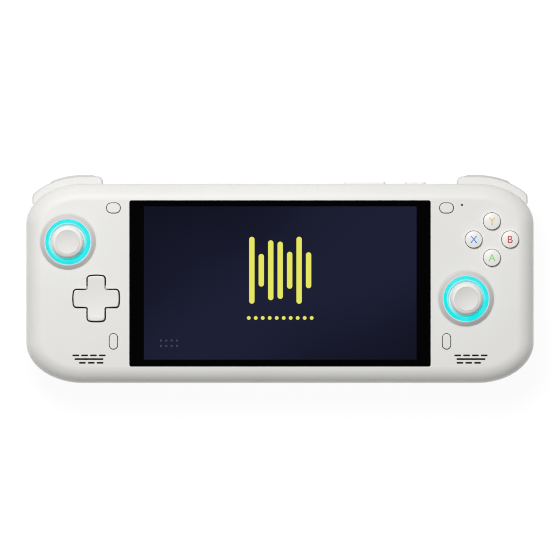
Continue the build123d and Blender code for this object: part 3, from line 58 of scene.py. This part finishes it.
# %% Colours
def shade(red, green, blue):
    """A linear colour with alpha, from screen values."""
    channels = []
    for value in (red, green, blue):
        share = value / 255
        channels.append(share / 12.92 if share <= 0.04045 else ((share + 0.055) / 1.055) ** 2.4)
    return (*channels, 1.0)


shell_white = shade(230, 229, 226)
shell_shadow_white = shade(226, 225, 221)
bumper_white = shade(224, 223, 220)
button_white = shade(238, 237, 233)
pad_white = shade(229, 229, 226)
# A grey painted shade for the raised collars and the bumpers' upper edges.
painted_shade_grey = shade(204, 202, 200)
# The triggers' darker whites are a painted shade, for the shade they sit in under the bumpers.
trigger_painted_shade_white = shade(198, 197, 194)
trigger_painted_shade_darker_white = shade(190, 189, 186)
cap_white = shade(224, 223, 219)
# The caps' rims are painted paler: a painted highlight.
cap_rim_highlight_white = shade(236, 235, 232)
ring_glow = shade(0, 238, 240)
# Paler cyan for the ring's uneven patches and for a painted highlight at the upper left of its inner
# edge.
ring_patch_and_highlight_glow = shade(190, 246, 250)
print("shell white in linear light:", [round(value, 3) for value in shell_white[:3]])

# %% [markdown]
# A material is a network of nodes, and wiring each sum by hand makes long code. Two small classes
# keep it readable: a Wire is one output socket that Python's own operators can reckon with, and a
# Network adds any node from its type, its settings and the values or wires of its inputs.

# %% Sums on sockets
class Wire:
    """One output socket of a node network."""

    def __init__(self, network, socket):
        self.network = network
        self.socket = socket

    def sum(self, operation, first, second=0.0):
        return self.network.add("ShaderNodeMath", {"operation": operation}, {0: first, 1: second})

    def __add__(self, other):
        return self.sum("ADD", self, other)

    __radd__ = __add__

    def __sub__(self, other):
        return self.sum("SUBTRACT", self, other)

    def __rsub__(self, other):
        return self.sum("SUBTRACT", other, self)

    def __mul__(self, other):
        return self.sum("MULTIPLY", self, other)

    __rmul__ = __mul__

    def __truediv__(self, other):
        return self.sum("DIVIDE", self, other)

    def __pow__(self, other):
        return self.sum("POWER", self, other)

    def __abs__(self):
        return self.sum("ABSOLUTE", self)

    def most(self, other):
        return self.sum("MAXIMUM", self, other)

    def sine(self):
        return self.sum("SINE", self)

    def whole(self):
        return self.sum("ROUND", self)

    def step(self, low, high):
        """0 up to low, 1 from high on, and a soft step between them."""
        return self.network.add("ShaderNodeMapRange", {"interpolation_type": "SMOOTHSTEP"},
                                {0: self, 1: low, 2: high})


# %% Nodes from one method
class Network:
    """A node tree that is filled node by node."""

    def __init__(self, tree):
        self.tree = tree

    def add(self, kind, settings=None, inputs=None, output=0):
        """Adds a node and hands back one of its outputs."""
        node = self.tree.nodes.new(kind)
        for name, value in (settings or {}).items():
            setattr(node, name, value)
        for key, value in (inputs or {}).items():
            self.feed(node.inputs[key], value)
        return Wire(self, node.outputs[output])

    def feed(self, socket, value):
        """Gives an input a wire or a plain value."""
        if isinstance(value, Wire):
            self.tree.links.new(value.socket, socket)
        else:
            socket.default_value = value

    def place(self):
        """The point on the surface, in metres, as a vector and as its three numbers."""
        point = self.add("ShaderNodeTexCoord", output="Object")
        split = self.tree.nodes.new("ShaderNodeSeparateXYZ")
        self.feed(split.inputs[0], point)
        return point, *(Wire(self, split.outputs[axis]) for axis in "XYZ")

    def noise(self, point, scale, detail=2.0):
        return self.add("ShaderNodeTexNoise", inputs={"Vector": point, "Scale": scale, "Detail": detail})

    def mix(self, share, first, second):
        """A colour between two others."""
        return self.add("ShaderNodeMix", {"data_type": "RGBA"}, {0: share, 6: first, 7: second}, output=2)

    def stretch(self, point, factors):
        """The point with each of its numbers multiplied by its own factor."""
        return self.add("ShaderNodeVectorMath", {"operation": "MULTIPLY"}, {0: point, 1: factors})


# %% A material around one shader
class Finish(Network):
    """A material whose look is one Principled shader."""

    def __init__(self, name, fixed=None):
        self.material = bpy.data.materials.new(name)
        self.material.use_nodes = True
        super().__init__(self.material.node_tree)
        self.shader = self.tree.nodes["Principled BSDF"]
        for socket, value in (fixed or {}).items():
            self.shader.inputs[socket].default_value = value

    def wear(self, name, value):
        """Feeds one socket of the shader."""
        self.feed(self.shader.inputs[name], value)

    def relief(self, height, depth, strength=1.0):
        """Lets the light see a relief of this depth in metres."""
        self.wear("Normal", self.add("ShaderNodeBump", inputs={"Height": height, "Distance": depth,
                                                               "Strength": strength}))


# %% [markdown]
# The shells, bumpers and triggers are moulded in a warm white plastic. The tool that forms it is
# spark eroded, which leaves a grain of a few tenths of a millimetre. A fine noise gives that grain
# as a shallow bump and in the roughness, and a wide, faint noise keeps the white from being dead flat.
#
# A mask is a sum that is 1 on one part of a piece and 0 elsewhere. The masks say where the front
# shell is black inside: a coat that keeps the light of the rings in, and also a painted shade that
# makes every gap round a key look black, as the black skirts of the keys and the pad do. They also
# say where a grey painted shade darkens the raised collars and the bumpers' upper edges, and where
# the palms have rubbed the outer walls smooth.

# %% Numbers of the moulded plastic
grain_scale = 2600.0
cloud_scale = 16.0

# Black for the front shell's inner coat and for the painted shade in the gaps round the keys.
black_coat_and_gap_shade = shade(10, 10, 11)
paint_depth = 0.2 * mm
paint_edge = 0.1 * mm
paint_corner = (27.7 * mm, 19.9 * mm)
paint_reach = 0.56
pad_corner_reach = 6.1 * mm

# Where the grey painted shade lies on the collars and along the bumpers' upper edges.
collar_inner = 11.3 * mm
collar_full = 12.6 * mm
collar_end = 14.8 * mm
bumper_edge = 0.8 * mm

polish_start = 2.0 * mm
polish_full = 4.5 * mm
polish_fade = 9.0 * mm
polish_end = 13.0 * mm
polish_top_start = 20.0 * mm
polish_top_end = 8.0 * mm


# %% Masks
def below_face(z):
    """1 for what lies deeper than the flat face of the front shell."""
    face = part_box("cover_glass")[1].z
    return 1 - z.step(face - paint_depth - paint_edge, face - paint_depth)


def off_pad_middle(x, y):
    """0 at the inner corners of the direction pad, whose pale skirt shows in the gap, 1 elsewhere."""
    low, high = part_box("dpad")
    middle = (low + high) / 2
    reach = abs(x - middle.x).most(abs(y - middle.y))
    return reach.step(pad_corner_reach - paint_edge, pad_corner_reach + paint_edge)


def black_inside_and_gap_shade(x, y, z):
    """1 on the inside of the front shell, below its face and away from its rounded outer walls; its black
    is a coat and a painted shade in the gaps.
    """
    low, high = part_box("front_shell")
    middle = (low + high) / 2
    half = (high - low) / 2
    across = (abs(x - middle.x) - (half.x - paint_corner[0])).most(0.0) / paint_corner[0]
    along = (abs(y - middle.y) - (half.y - paint_corner[1])).most(0.0) / paint_corner[1]
    outward = (across ** 2.0 + along ** 2.0) ** 0.5
    inside = 1 - outward.step(paint_reach, paint_reach + 0.02)
    return inside * below_face(z) * off_pad_middle(x, y)


def key_skirt_gap_shade(x, y, z):
    """1 on the part of a key that stays under the face, painted black as the shade in the gap."""
    return below_face(z)


def pad_skirt_gap_shade(x, y, z):
    """1 on the part of a key or the pad under the face, painted black as the shade in the gaps, but for
    the pad's inner corners.
    """
    return below_face(z) * off_pad_middle(x, y)


def bumper_edge_painted_shade(x, y, z):
    """1 along the rounded upper edge of the bumpers, where a grey painted shade lies."""
    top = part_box("left_bumper")[1].z
    off_top = 1 - z.step(top - bumper_edge / 3, top - bumper_edge / 24)
    off_side = z.step(top - 2 * bumper_edge, top - 1.5 * bumper_edge)
    return off_top * off_side


def collar_painted_shade(x, y):
    """1 where a grey painted shade lies on the raised collars round the sticks, fading out on the face.
    """
    total = 0.0
    for side in ("left", "right"):
        low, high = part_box(side + "_light_ring")
        middle = (low + high) / 2
        radius = ((x - middle.x) ** 2.0 + (y - middle.y) ** 2.0) ** 0.5
        outside_ring = radius.step(collar_inner - paint_edge, collar_inner)
        total = total + outside_ring * (1 - radius.step(collar_full, collar_end))
    return total


def wall_polish(y, z):
    """1 on the side walls and the lower wall near the seam, which the palms rub smooth."""
    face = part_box("cover_glass")[1].z
    top_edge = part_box("front_shell")[1].y
    under_face = 1 - z.step(face - polish_full, face - polish_start)
    over_back = z.step(face - polish_end, face - polish_fade)
    held = 1 - y.step(top_edge - polish_top_start, top_edge - polish_top_end)
    return under_face * over_back * held


# %% Moulded plastic
def moulded_plastic(name, light, dark, roughness, grain_depth, paint=None,
                    paint_colour=black_coat_and_gap_shade, collars=False, polished=False):
    """Grained white plastic, painted where the paint mask says: painted shade, and the front shell's
    black inner coat; collars adds a grey painted shade.
    """
    finish = Finish(name, {"Specular IOR Level": 0.4, "Coat Roughness": 0.15})
    point, x, y, z = finish.place()
    cloud = finish.noise(point, cloud_scale, 3.0)
    grain = finish.noise(point, grain_scale)
    colour = finish.mix(cloud.step(0.3, 0.7), dark, light)
    if collars:
        colour = finish.mix(collar_painted_shade(x, y), colour, painted_shade_grey)
    if paint:
        colour = finish.mix(paint(x, y, z), colour, paint_colour)
    if polished:
        finish.wear("Coat Weight", wall_polish(y, z))
    finish.wear("Base Color", colour)
    finish.wear("Roughness", roughness + 0.1 * (grain - 0.5) + 0.08 * (cloud - 0.5))
    finish.relief(grain, grain_depth, 0.5)
    return finish.material


shell_plastic = moulded_plastic("shell_plastic", shell_white, shell_shadow_white, 0.48, 0.03 * mm,
                                polished=True)
front_plastic = moulded_plastic("front_plastic", shell_white, shell_shadow_white, 0.48, 0.03 * mm,
                                black_inside_and_gap_shade, collars=True, polished=True)
# The bumpers' rounded upper edge gets a grey painted shade.
bumper_plastic = moulded_plastic("bumper_plastic", bumper_white, shell_shadow_white, 0.5, 0.02 * mm,
                                 bumper_edge_painted_shade, painted_shade_grey)
# The triggers' whole white is darkened: a painted shade.
trigger_painted_shade_plastic = moulded_plastic("trigger_painted_shade_plastic", trigger_painted_shade_white, trigger_painted_shade_darker_white, 0.5, 0.02 * mm)
button_plastic = moulded_plastic("button_plastic", button_white, pad_white, 0.34, 0.01 * mm, key_skirt_gap_shade)
pad_plastic = moulded_plastic("pad_plastic", pad_white, shell_shadow_white, 0.42, 0.015 * mm, pad_skirt_gap_shade)
print("moulded plastics ready")

# %% [markdown]
# The stick caps have a soft rubbery skin. Its rim is polished by the thumb, so it is glossier, and it
# is painted lighter than the dish as a painted highlight; the sides carry fine upright ribs for grip.
# The distance from the cap's axis tells the material where on the cap it is, so the same recipe serves
# both caps.

# %% Stick caps
rib_count = 72
dish_radius = 5.4 * mm
rim_radius = 6.6 * mm
cap_edge_radius = 7.6 * mm


def cap_rubber(name, node):
    """Soft skin with a dish, a rim painted paler as a highlight, and a ribbed side."""
    low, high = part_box(node)
    centre = (low + high) / 2
    finish = Finish(name, {"Specular IOR Level": 0.3})
    point, x, y, z = finish.place()
    across = x - centre.x
    along = y - centre.y
    radius = (across ** 2.0 + along ** 2.0) ** 0.5
    angle = finish.add("ShaderNodeMath", {"operation": "ARCTAN2"}, {0: along, 1: across})
    rim = radius.step(dish_radius, rim_radius)
    side = radius.step(cap_edge_radius - 0.1 * mm, cap_edge_radius + 0.1 * mm)
    ribs = (angle * rib_count).sine() * 0.5 + 0.5
    skin = finish.noise(point, 3400.0)
    finish.wear("Base Color", finish.mix(rim, cap_white, cap_rim_highlight_white))
    finish.wear("Roughness", 0.62 - 0.12 * rim + 0.1 * (skin - 0.5))
    finish.relief(0.25 * skin + side * ribs, 0.12 * mm, 0.6)
    return finish.material


# %% [markdown]
# A clear light guide lies round each stick, lit from below in cyan. Its inner edge is painted paler
# towards the upper left, a painted highlight, and it is a little uneven round the ring.

# %% Light rings
ring_inner_edge = 8.9 * mm
ring_core = 9.7 * mm


def glowing_ring(name, node):
    """A clear ring that glows cyan, with a painted highlight at the upper left of its inner edge."""
    low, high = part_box(node)
    centre = (low + high) / 2
    finish = Finish(name, {"Emission Strength": 0.95, "Specular IOR Level": 0.1})
    point, x, y, z = finish.place()
    radius = ((x - centre.x) ** 2.0 + (y - centre.y) ** 2.0) ** 0.5
    # The inner edge is painted paler towards the upper left: a painted highlight.
    side = 0.5 + 0.5 * ((y - centre.y) * 0.8 - (x - centre.x) * 0.6) / radius
    edge = (1 - radius.step(ring_inner_edge, ring_core)) * side
    patches = finish.noise(point, 260.0).step(0.35, 0.75)
    glow = finish.mix(edge + patches * 0.08, ring_glow, ring_patch_and_highlight_glow)
    finish.wear("Base Color", finish.mix(edge, shade(0, 20, 24), shade(10, 60, 64)))
    finish.wear("Emission Color", glow)
    finish.wear("Roughness", 0.3 + 0.1 * patches)
    return finish.material


# %% [markdown]
# The screen lies behind a black-backed glass that is flush with the shell. The lit picture is drawn
# in the material of the glass: a deep navy ground with a soft sheen, a row of yellow bars with round
# ends, and a few small dots. Everything is worked out from the distance to simple shapes.

# %% Screen picture
screen_half_width = 66.4 * mm
screen_half_height = 37.35 * mm
screen_shift = (0.1 * mm, 0.22 * mm)
bar_pitch = 4.6 * mm
bar_radius = 1.3 * mm
bar_reach = 3
bar_least = 4.0 * mm
bar_swing = 11.0 * mm
bar_lift = 6.2 * mm
dot_count = 10
dot_pitch = 3.4 * mm
dot_radius = 0.9 * mm
dot_shift = 15.3 * mm
dot_drop = 17.0 * mm
faint_rows = 2
faint_count = 4
faint_pitch = 2.6 * mm
faint_radius = 0.5 * mm
faint_shift = 58.0 * mm
faint_drop = 28.0 * mm
soft_edge = 0.08 * mm
navy = shade(16, 18, 33)
bright_navy = shade(29, 31, 53)
bar_yellow = shade(229, 230, 98)
faint_grey = shade(72, 73, 78)
glass_black = shade(2, 2, 3)
lit_black = shade(0, 0, 0)


def capsule(across, along, half_length, radius):
    """1 inside an upright bar with round ends, 0 outside it."""
    beyond = (abs(along) - half_length).most(0.0)
    away = (across ** 2.0 + beyond ** 2.0) ** 0.5
    return 1 - away.step(radius - soft_edge, radius + soft_edge)


def bars(x, y):
    """A row of bars whose lengths rise and fall."""
    place = (x / bar_pitch).whole()
    half_length = bar_least + bar_swing * abs((place * 1.9 + 0.9).sine())
    inside_row = 1 - abs(place).step(bar_reach + 0.2, bar_reach + 0.6)
    return inside_row * capsule(x - place * bar_pitch, y, half_length, bar_radius)


def dots(x, y, count, pitch, radius):
    """A short row of dots that starts at x = 0."""
    total = 0.0
    for number in range(count):
        total = total + capsule(x - number * pitch, y, 0.0, radius)
    return total


def faint_dots(across, along):
    """Two short rows of grey dots at the lower left."""
    total = 0.0
    for row in range(faint_rows):
        drop = faint_drop + row * faint_pitch
        total = total + dots(across + faint_shift, along + drop, faint_count, faint_pitch, faint_radius)
    return total


def screen_glass(name, node):
    """Black glass with the lit picture on its upper face."""
    low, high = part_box(node)
    centre = (low + high) / 2
    finish = Finish(name, {"IOR": 1.06, "Emission Strength": 1.0})
    point, x, y, z = finish.place()
    across = x - (centre.x + screen_shift[0])
    along = y - (centre.y + screen_shift[1])
    on_top = (z - high.z).step(-0.2 * mm, -0.1 * mm)
    lit = ((screen_half_width - abs(across)).step(0.0, 0.2 * mm)
           * (screen_half_height - abs(along)).step(0.0, 0.2 * mm) * on_top)
    wave = finish.noise(finish.stretch(point, (9.0, 14.0, 1.0)), 1.0, 1.0)
    sheen = 0.5 + 0.5 * ((across * 22.0 - along * 34.0) + wave * 2.4).sine()
    ground = finish.mix(sheen, navy, bright_navy)
    dotted_line = dots(across + dot_shift, along + dot_drop, dot_count, dot_pitch, dot_radius)
    drawn = finish.mix(bars(across, along - bar_lift) + dotted_line, ground, bar_yellow)
    picture = finish.mix(faint_dots(across, along), drawn, faint_grey)
    finish.wear("Base Color", finish.mix(lit, glass_black, lit_black))
    finish.wear("Emission Color", finish.mix(lit, lit_black, picture))
    smears = finish.noise(point, 45.0, 4.0)
    finish.wear("Roughness", 0.08 + 0.06 * smears)
    return finish.material


# %% [markdown]
# The pieces inside show only through the grilles and gaps, but they get real finishes too: brushed
# or cast metal with streaks in the roughness, black plastic, rubber, and circuit boards whose
# solder mask shows fine tracks.

# %% Metals
def metal(name, light, dark, roughness, streaks):
    """Metal with stains, and streaks that are as close as the three factors say."""
    finish = Finish(name, {"Metallic": 1.0})
    point, *_ = finish.place()
    lines = finish.noise(finish.stretch(point, streaks), 1.0, 3.0)
    stains = finish.noise(point, 90.0, 4.0)
    finish.wear("Base Color", finish.mix(stains.step(0.35, 0.75), light, dark))
    finish.wear("Roughness", roughness + 0.2 * (lines - 0.5) + 0.1 * (stains - 0.5))
    finish.relief(lines, 0.01 * mm, 0.4)
    return finish.material


steel = metal("zinc_steel", shade(196, 198, 202), shade(170, 172, 178), 0.34, (300.0, 4200.0, 4200.0))
light_metal = metal("cast_alloy", shade(205, 206, 208), shade(180, 182, 185), 0.5, (900.0, 900.0, 900.0))
copper = metal("copper", shade(205, 132, 96), shade(168, 98, 66), 0.32, (3000.0, 200.0, 3000.0))

# %% Boards, rubber and black plastic
def board(name):
    """Dark green solder mask over wavy tracks."""
    finish = Finish(name)
    point, x, y, z = finish.place()
    tracks = abs((x * 3200.0 + 3.0 * finish.noise(point, 120.0)).sine()).step(0.75, 0.9)
    rows = abs((y * 2600.0 + 3.0 * finish.noise(point, 90.0)).sine()).step(0.8, 0.92)
    finish.wear("Base Color", finish.mix(tracks.most(rows), shade(12, 22, 24), shade(24, 46, 46)))
    finish.wear("Roughness", 0.35 + 0.15 * tracks)
    finish.relief(tracks.most(rows), 0.02 * mm, 0.5)
    return finish.material


def dark_plastic(name, light, dark, roughness):
    """Finely grained plastic or rubber."""
    finish = Finish(name)
    point, *_ = finish.place()
    grain = finish.noise(point, 1500.0)
    finish.wear("Base Color", finish.mix(grain.step(0.3, 0.7), light, dark))
    finish.wear("Roughness", roughness + 0.15 * (grain - 0.5))
    finish.relief(grain, 0.02 * mm, 0.5)
    return finish.material


board_mask = board("solder_mask")
black_plastic = dark_plastic("black_plastic", shade(26, 26, 28), shade(18, 18, 20), 0.5)
grey_rubber = dark_plastic("grey_rubber", shade(120, 122, 126), shade(106, 108, 112), 0.75)
battery_wrap = dark_plastic("battery_wrap", shade(54, 55, 60), shade(42, 43, 48), 0.38)
print("inner finishes ready")

# %% [markdown]
# Each piece has a material slot in the record. A small table names the finish of each slot, and a
# second one the few pieces that need their own, because their finish follows their own centre or
# is a shade lighter or darker than the shell; the triggers' darker white is a painted shade.

# %% Dress every piece
slot_finish = {
    "shell": shell_plastic, "button": button_plastic, "light_metal": light_metal, "steel": steel,
    "copper": copper, "board": board_mask, "black_plastic": black_plastic, "grey_rubber": grey_rubber,
    "battery": battery_wrap, "display": black_plastic,
}
own_finish = {
    "front_shell": front_plastic,
    "cover_glass": screen_glass("screen_glass", "cover_glass"),
    "dpad": pad_plastic,
}
for side in ("left", "right"):
    own_finish[side + "_stick_cap"] = cap_rubber(side + "_cap_rubber", side + "_stick_cap")
    own_finish[side + "_light_ring"] = glowing_ring(side + "_ring_glow", side + "_light_ring")
    own_finish[side + "_bumper"] = bumper_plastic
    own_finish[side + "_trigger"] = trigger_painted_shade_plastic
    own_finish["upper_" + side + "_key"] = pad_plastic
    own_finish["lower_" + side + "_key"] = pad_plastic

for part in frame["record"]["subparts"]:
    node = part["node"]
    finish = own_finish.get(node) or slot_finish[part["material_slot"]]
    nodes[node].data.materials.clear()
    nodes[node].data.materials.append(finish)

# %% [markdown]
# The four action buttons carry a coloured letter, printed on the dome. The built-in font gives the
# letter as a flat mesh. It is scaled to its real height, cut by a fine grid so that it can bend,
# dropped on the button from above, and given the thickness of a coat of ink.

# %% Letters on the action buttons
letter_height = 3.45 * mm
grid_step = 0.35 * mm
ink_lift = 0.02 * mm
ink_depth = 0.06 * mm
letter_stroke = 0.006


def flat_letter(letter):
    """The letter as a flat bmesh round the origin, at its real height."""
    curve = bpy.data.curves.new("letter", "FONT")
    curve.body = letter
    curve.offset = letter_stroke
    text = bpy.data.objects.new("letter", curve)
    bpy.context.scene.collection.objects.link(text)
    bpy.context.view_layer.update()
    mesh = bpy.data.meshes.new_from_object(text)
    bpy.data.objects.remove(text)
    shape = bmesh.new()
    shape.from_mesh(mesh)
    bmesh.ops.remove_doubles(shape, verts=shape.verts, dist=0.0005)
    low = Vector([min(vertex.co[axis] for vertex in shape.verts) for axis in range(3)])
    high = Vector([max(vertex.co[axis] for vertex in shape.verts) for axis in range(3)])
    bmesh.ops.translate(shape, verts=shape.verts, vec=-(low + high) / 2)
    scale = letter_height / (high.y - low.y)
    bmesh.ops.scale(shape, verts=shape.verts, vec=(scale, scale, scale))
    return shape


def cut_in_grid(shape, reach):
    """Cuts the flat letter along a square grid, so that it can follow a curved surface."""
    lines = int(reach / grid_step)
    for axis in (Vector((1, 0, 0)), Vector((0, 1, 0))):
        for line in range(-lines, lines + 1):
            geometry = shape.verts[:] + shape.edges[:] + shape.faces[:]
            bmesh.ops.bisect_plane(shape, geom=geometry, plane_co=axis * line * grid_step, plane_no=axis)


def print_letter(letter, node, body, ink):
    """Lays the letter on top of a button and lets it ride with the button's body."""
    surface = BVHTree.FromObject(nodes[node], bpy.context.evaluated_depsgraph_get())
    low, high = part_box(node)
    centre = (low + high) / 2
    shape = flat_letter(letter)
    cut_in_grid(shape, letter_height / 2)
    for vertex in shape.verts:
        start = Vector((centre.x + vertex.co.x, centre.y + vertex.co.y, high.z + mm))
        hit, *_ = surface.ray_cast(start, Vector((0, 0, -1)))
        vertex.co = hit + Vector((0, 0, ink_lift))
    bmesh.ops.recalc_face_normals(shape, faces=shape.faces)
    for face in shape.faces:
        if face.normal.z < 0:
            face.normal_flip()
    bmesh.ops.solidify(shape, geom=shape.faces[:], thickness=ink_depth)
    bmesh.ops.recalc_face_normals(shape, faces=shape.faces)
    mesh = bpy.data.meshes.new("legend_" + letter.lower())
    shape.to_mesh(mesh)
    shape.free()
    mesh.materials.append(ink)
    piece = bpy.data.objects.new("legend_" + letter.lower(), mesh)
    bpy.context.scene.collection.objects.link(piece)
    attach(piece, body)
    print("letter", letter, "has", len(mesh.polygons), "faces")


def ink(name, colour, pale):
    """Printed ink with a fine, paler speckle."""
    finish = Finish(name, {"Specular IOR Level": 0.4})
    point, *_ = finish.place()
    speckle = finish.noise(point, 1800.0)
    finish.wear("Base Color", finish.mix(speckle.step(0.4, 0.8), colour, pale))
    finish.wear("Roughness", 0.35 + 0.1 * speckle)
    return finish.material


print_letter("A", "button_a", "button_a", ink("green_ink", shade(140, 210, 120), shade(160, 222, 142)))
print_letter("B", "button_b", "button_b", ink("red_ink", shade(186, 56, 66), shade(198, 84, 92)))
print_letter("X", "button_x", "button_x", ink("blue_ink", shade(72, 136, 226), shade(100, 156, 232)))
print_letter("Y", "button_y", "button_y", ink("amber_ink", shade(238, 194, 84), shade(244, 208, 112)))

# %% [markdown]
# The studio is plain: an even white surround, one large soft lamp above the top left corner, which
# brightens the rounded top edge and leaves the lower edge in a soft shade, and a white floor.
# For the camera and for reflections the surround is pure white, but it lights the object with less.
# The floor glows a little too, like a light table, which lifts the lower edge and the underside.
# The floor is clear from below, so that the underside can be looked at.

# %% Surround and floor
surround_strength = 0.12
floor_reach = 6.0
floor_glow_share = 0.9
floor_light_share = 0.35
floor_glow_strength = 1.04
floor_white = (0.8, 0.8, 0.8, 1.0)


def seen_directly(network):
    """1 for what the camera sees or sees mirrored, 0 for light that falls on the object."""
    paths = network.tree.nodes.new("ShaderNodeLightPath")
    rays = [Wire(network, paths.outputs[name])
            for name in ("Is Camera Ray", "Is Glossy Ray", "Is Transmission Ray")]
    return rays[0].most(rays[1]).most(rays[2])


world = bpy.data.worlds.new("surround")
bpy.context.scene.world = world
world.use_nodes = True
world.node_tree.nodes.clear()
air = Network(world.node_tree)
strength = surround_strength + (1 - surround_strength) * seen_directly(air)
light = air.add("ShaderNodeBackground", inputs={"Color": (1, 1, 1, 1), "Strength": strength})
air.feed(world.node_tree.nodes.new("ShaderNodeOutputWorld").inputs["Surface"], light)

floor_shape = bmesh.new()
bmesh.ops.create_grid(floor_shape, x_segments=1, y_segments=1, size=floor_reach)
floor_mesh = bpy.data.meshes.new("floor")
floor_shape.to_mesh(floor_mesh)
floor_shape.free()
floor_paint = bpy.data.materials.new("floor_paint")
floor_paint.use_nodes = True
floor_paint.node_tree.nodes.clear()
ground = Network(floor_paint.node_tree)
matt = ground.add("ShaderNodeBsdfDiffuse", inputs={"Color": floor_white})
glow = ground.add("ShaderNodeEmission", inputs={"Color": (1, 1, 1, 1), "Strength": floor_glow_strength})
glow_share = floor_light_share + (floor_glow_share - floor_light_share) * seen_directly(ground)
white = ground.add("ShaderNodeMixShader", inputs={0: glow_share, 1: matt, 2: glow})
clear = ground.add("ShaderNodeBsdfTransparent")
from_below = ground.add("ShaderNodeNewGeometry", output="Backfacing")
blend = ground.add("ShaderNodeMixShader", inputs={0: from_below, 1: white, 2: clear})
ground.feed(floor_paint.node_tree.nodes.new("ShaderNodeOutputMaterial").inputs["Surface"], blend)
floor_mesh.materials.append(floor_paint)
floor = bpy.data.objects.new("floor", floor_mesh)
bpy.context.scene.collection.objects.link(floor)

# %% Lamp
lamp_place = Vector((-0.17, 0.5, 1.12))
lamp_size = 0.46
lamp_power = 13.7

lamp_data = bpy.data.lights.new("soft_lamp", "AREA")
lamp_data.size = lamp_size
lamp_data.energy = lamp_power
lamp = bpy.data.objects.new("soft_lamp", lamp_data)
lamp.location = lamp_place
lamp.rotation_euler = (-lamp_place).to_track_quat("-Z", "Y").to_euler()
bpy.context.scene.collection.objects.link(lamp)
print("lamp is", round(lamp_place.length, 2), "m away")

# %% [markdown]
# The photograph was taken from straight above with a very long lens: the sides of the console don't
# show at all. A pixel of it is 0.4861 mm, and its middle lies a little above the shell's middle.
# It is crisp, so each pixel here gathers its light from a narrower patch than Blender's usual 1.5.

# %% Camera
picture_side = 560
pixel_size = 0.4861 * mm
picture_middle = (0.0, -0.52 * mm)
camera_distance = 3.0
film_width = 36.0
pixel_patch = 1.0

camera_data = bpy.data.cameras.new("camera")
camera_data.sensor_width = film_width
camera_data.lens = film_width * camera_distance / (picture_side * pixel_size)
camera = bpy.data.objects.new("camera", camera_data)
camera.location = (*picture_middle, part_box("front_shell")[1].z + camera_distance)
bpy.context.scene.collection.objects.link(camera)
bpy.context.scene.camera = camera
bpy.context.scene.cycles.filter_width = pixel_patch
print("lens:", round(camera_data.lens, 1), "mm")

view = bpy.context.scene.view_settings
view.view_transform = "Standard"
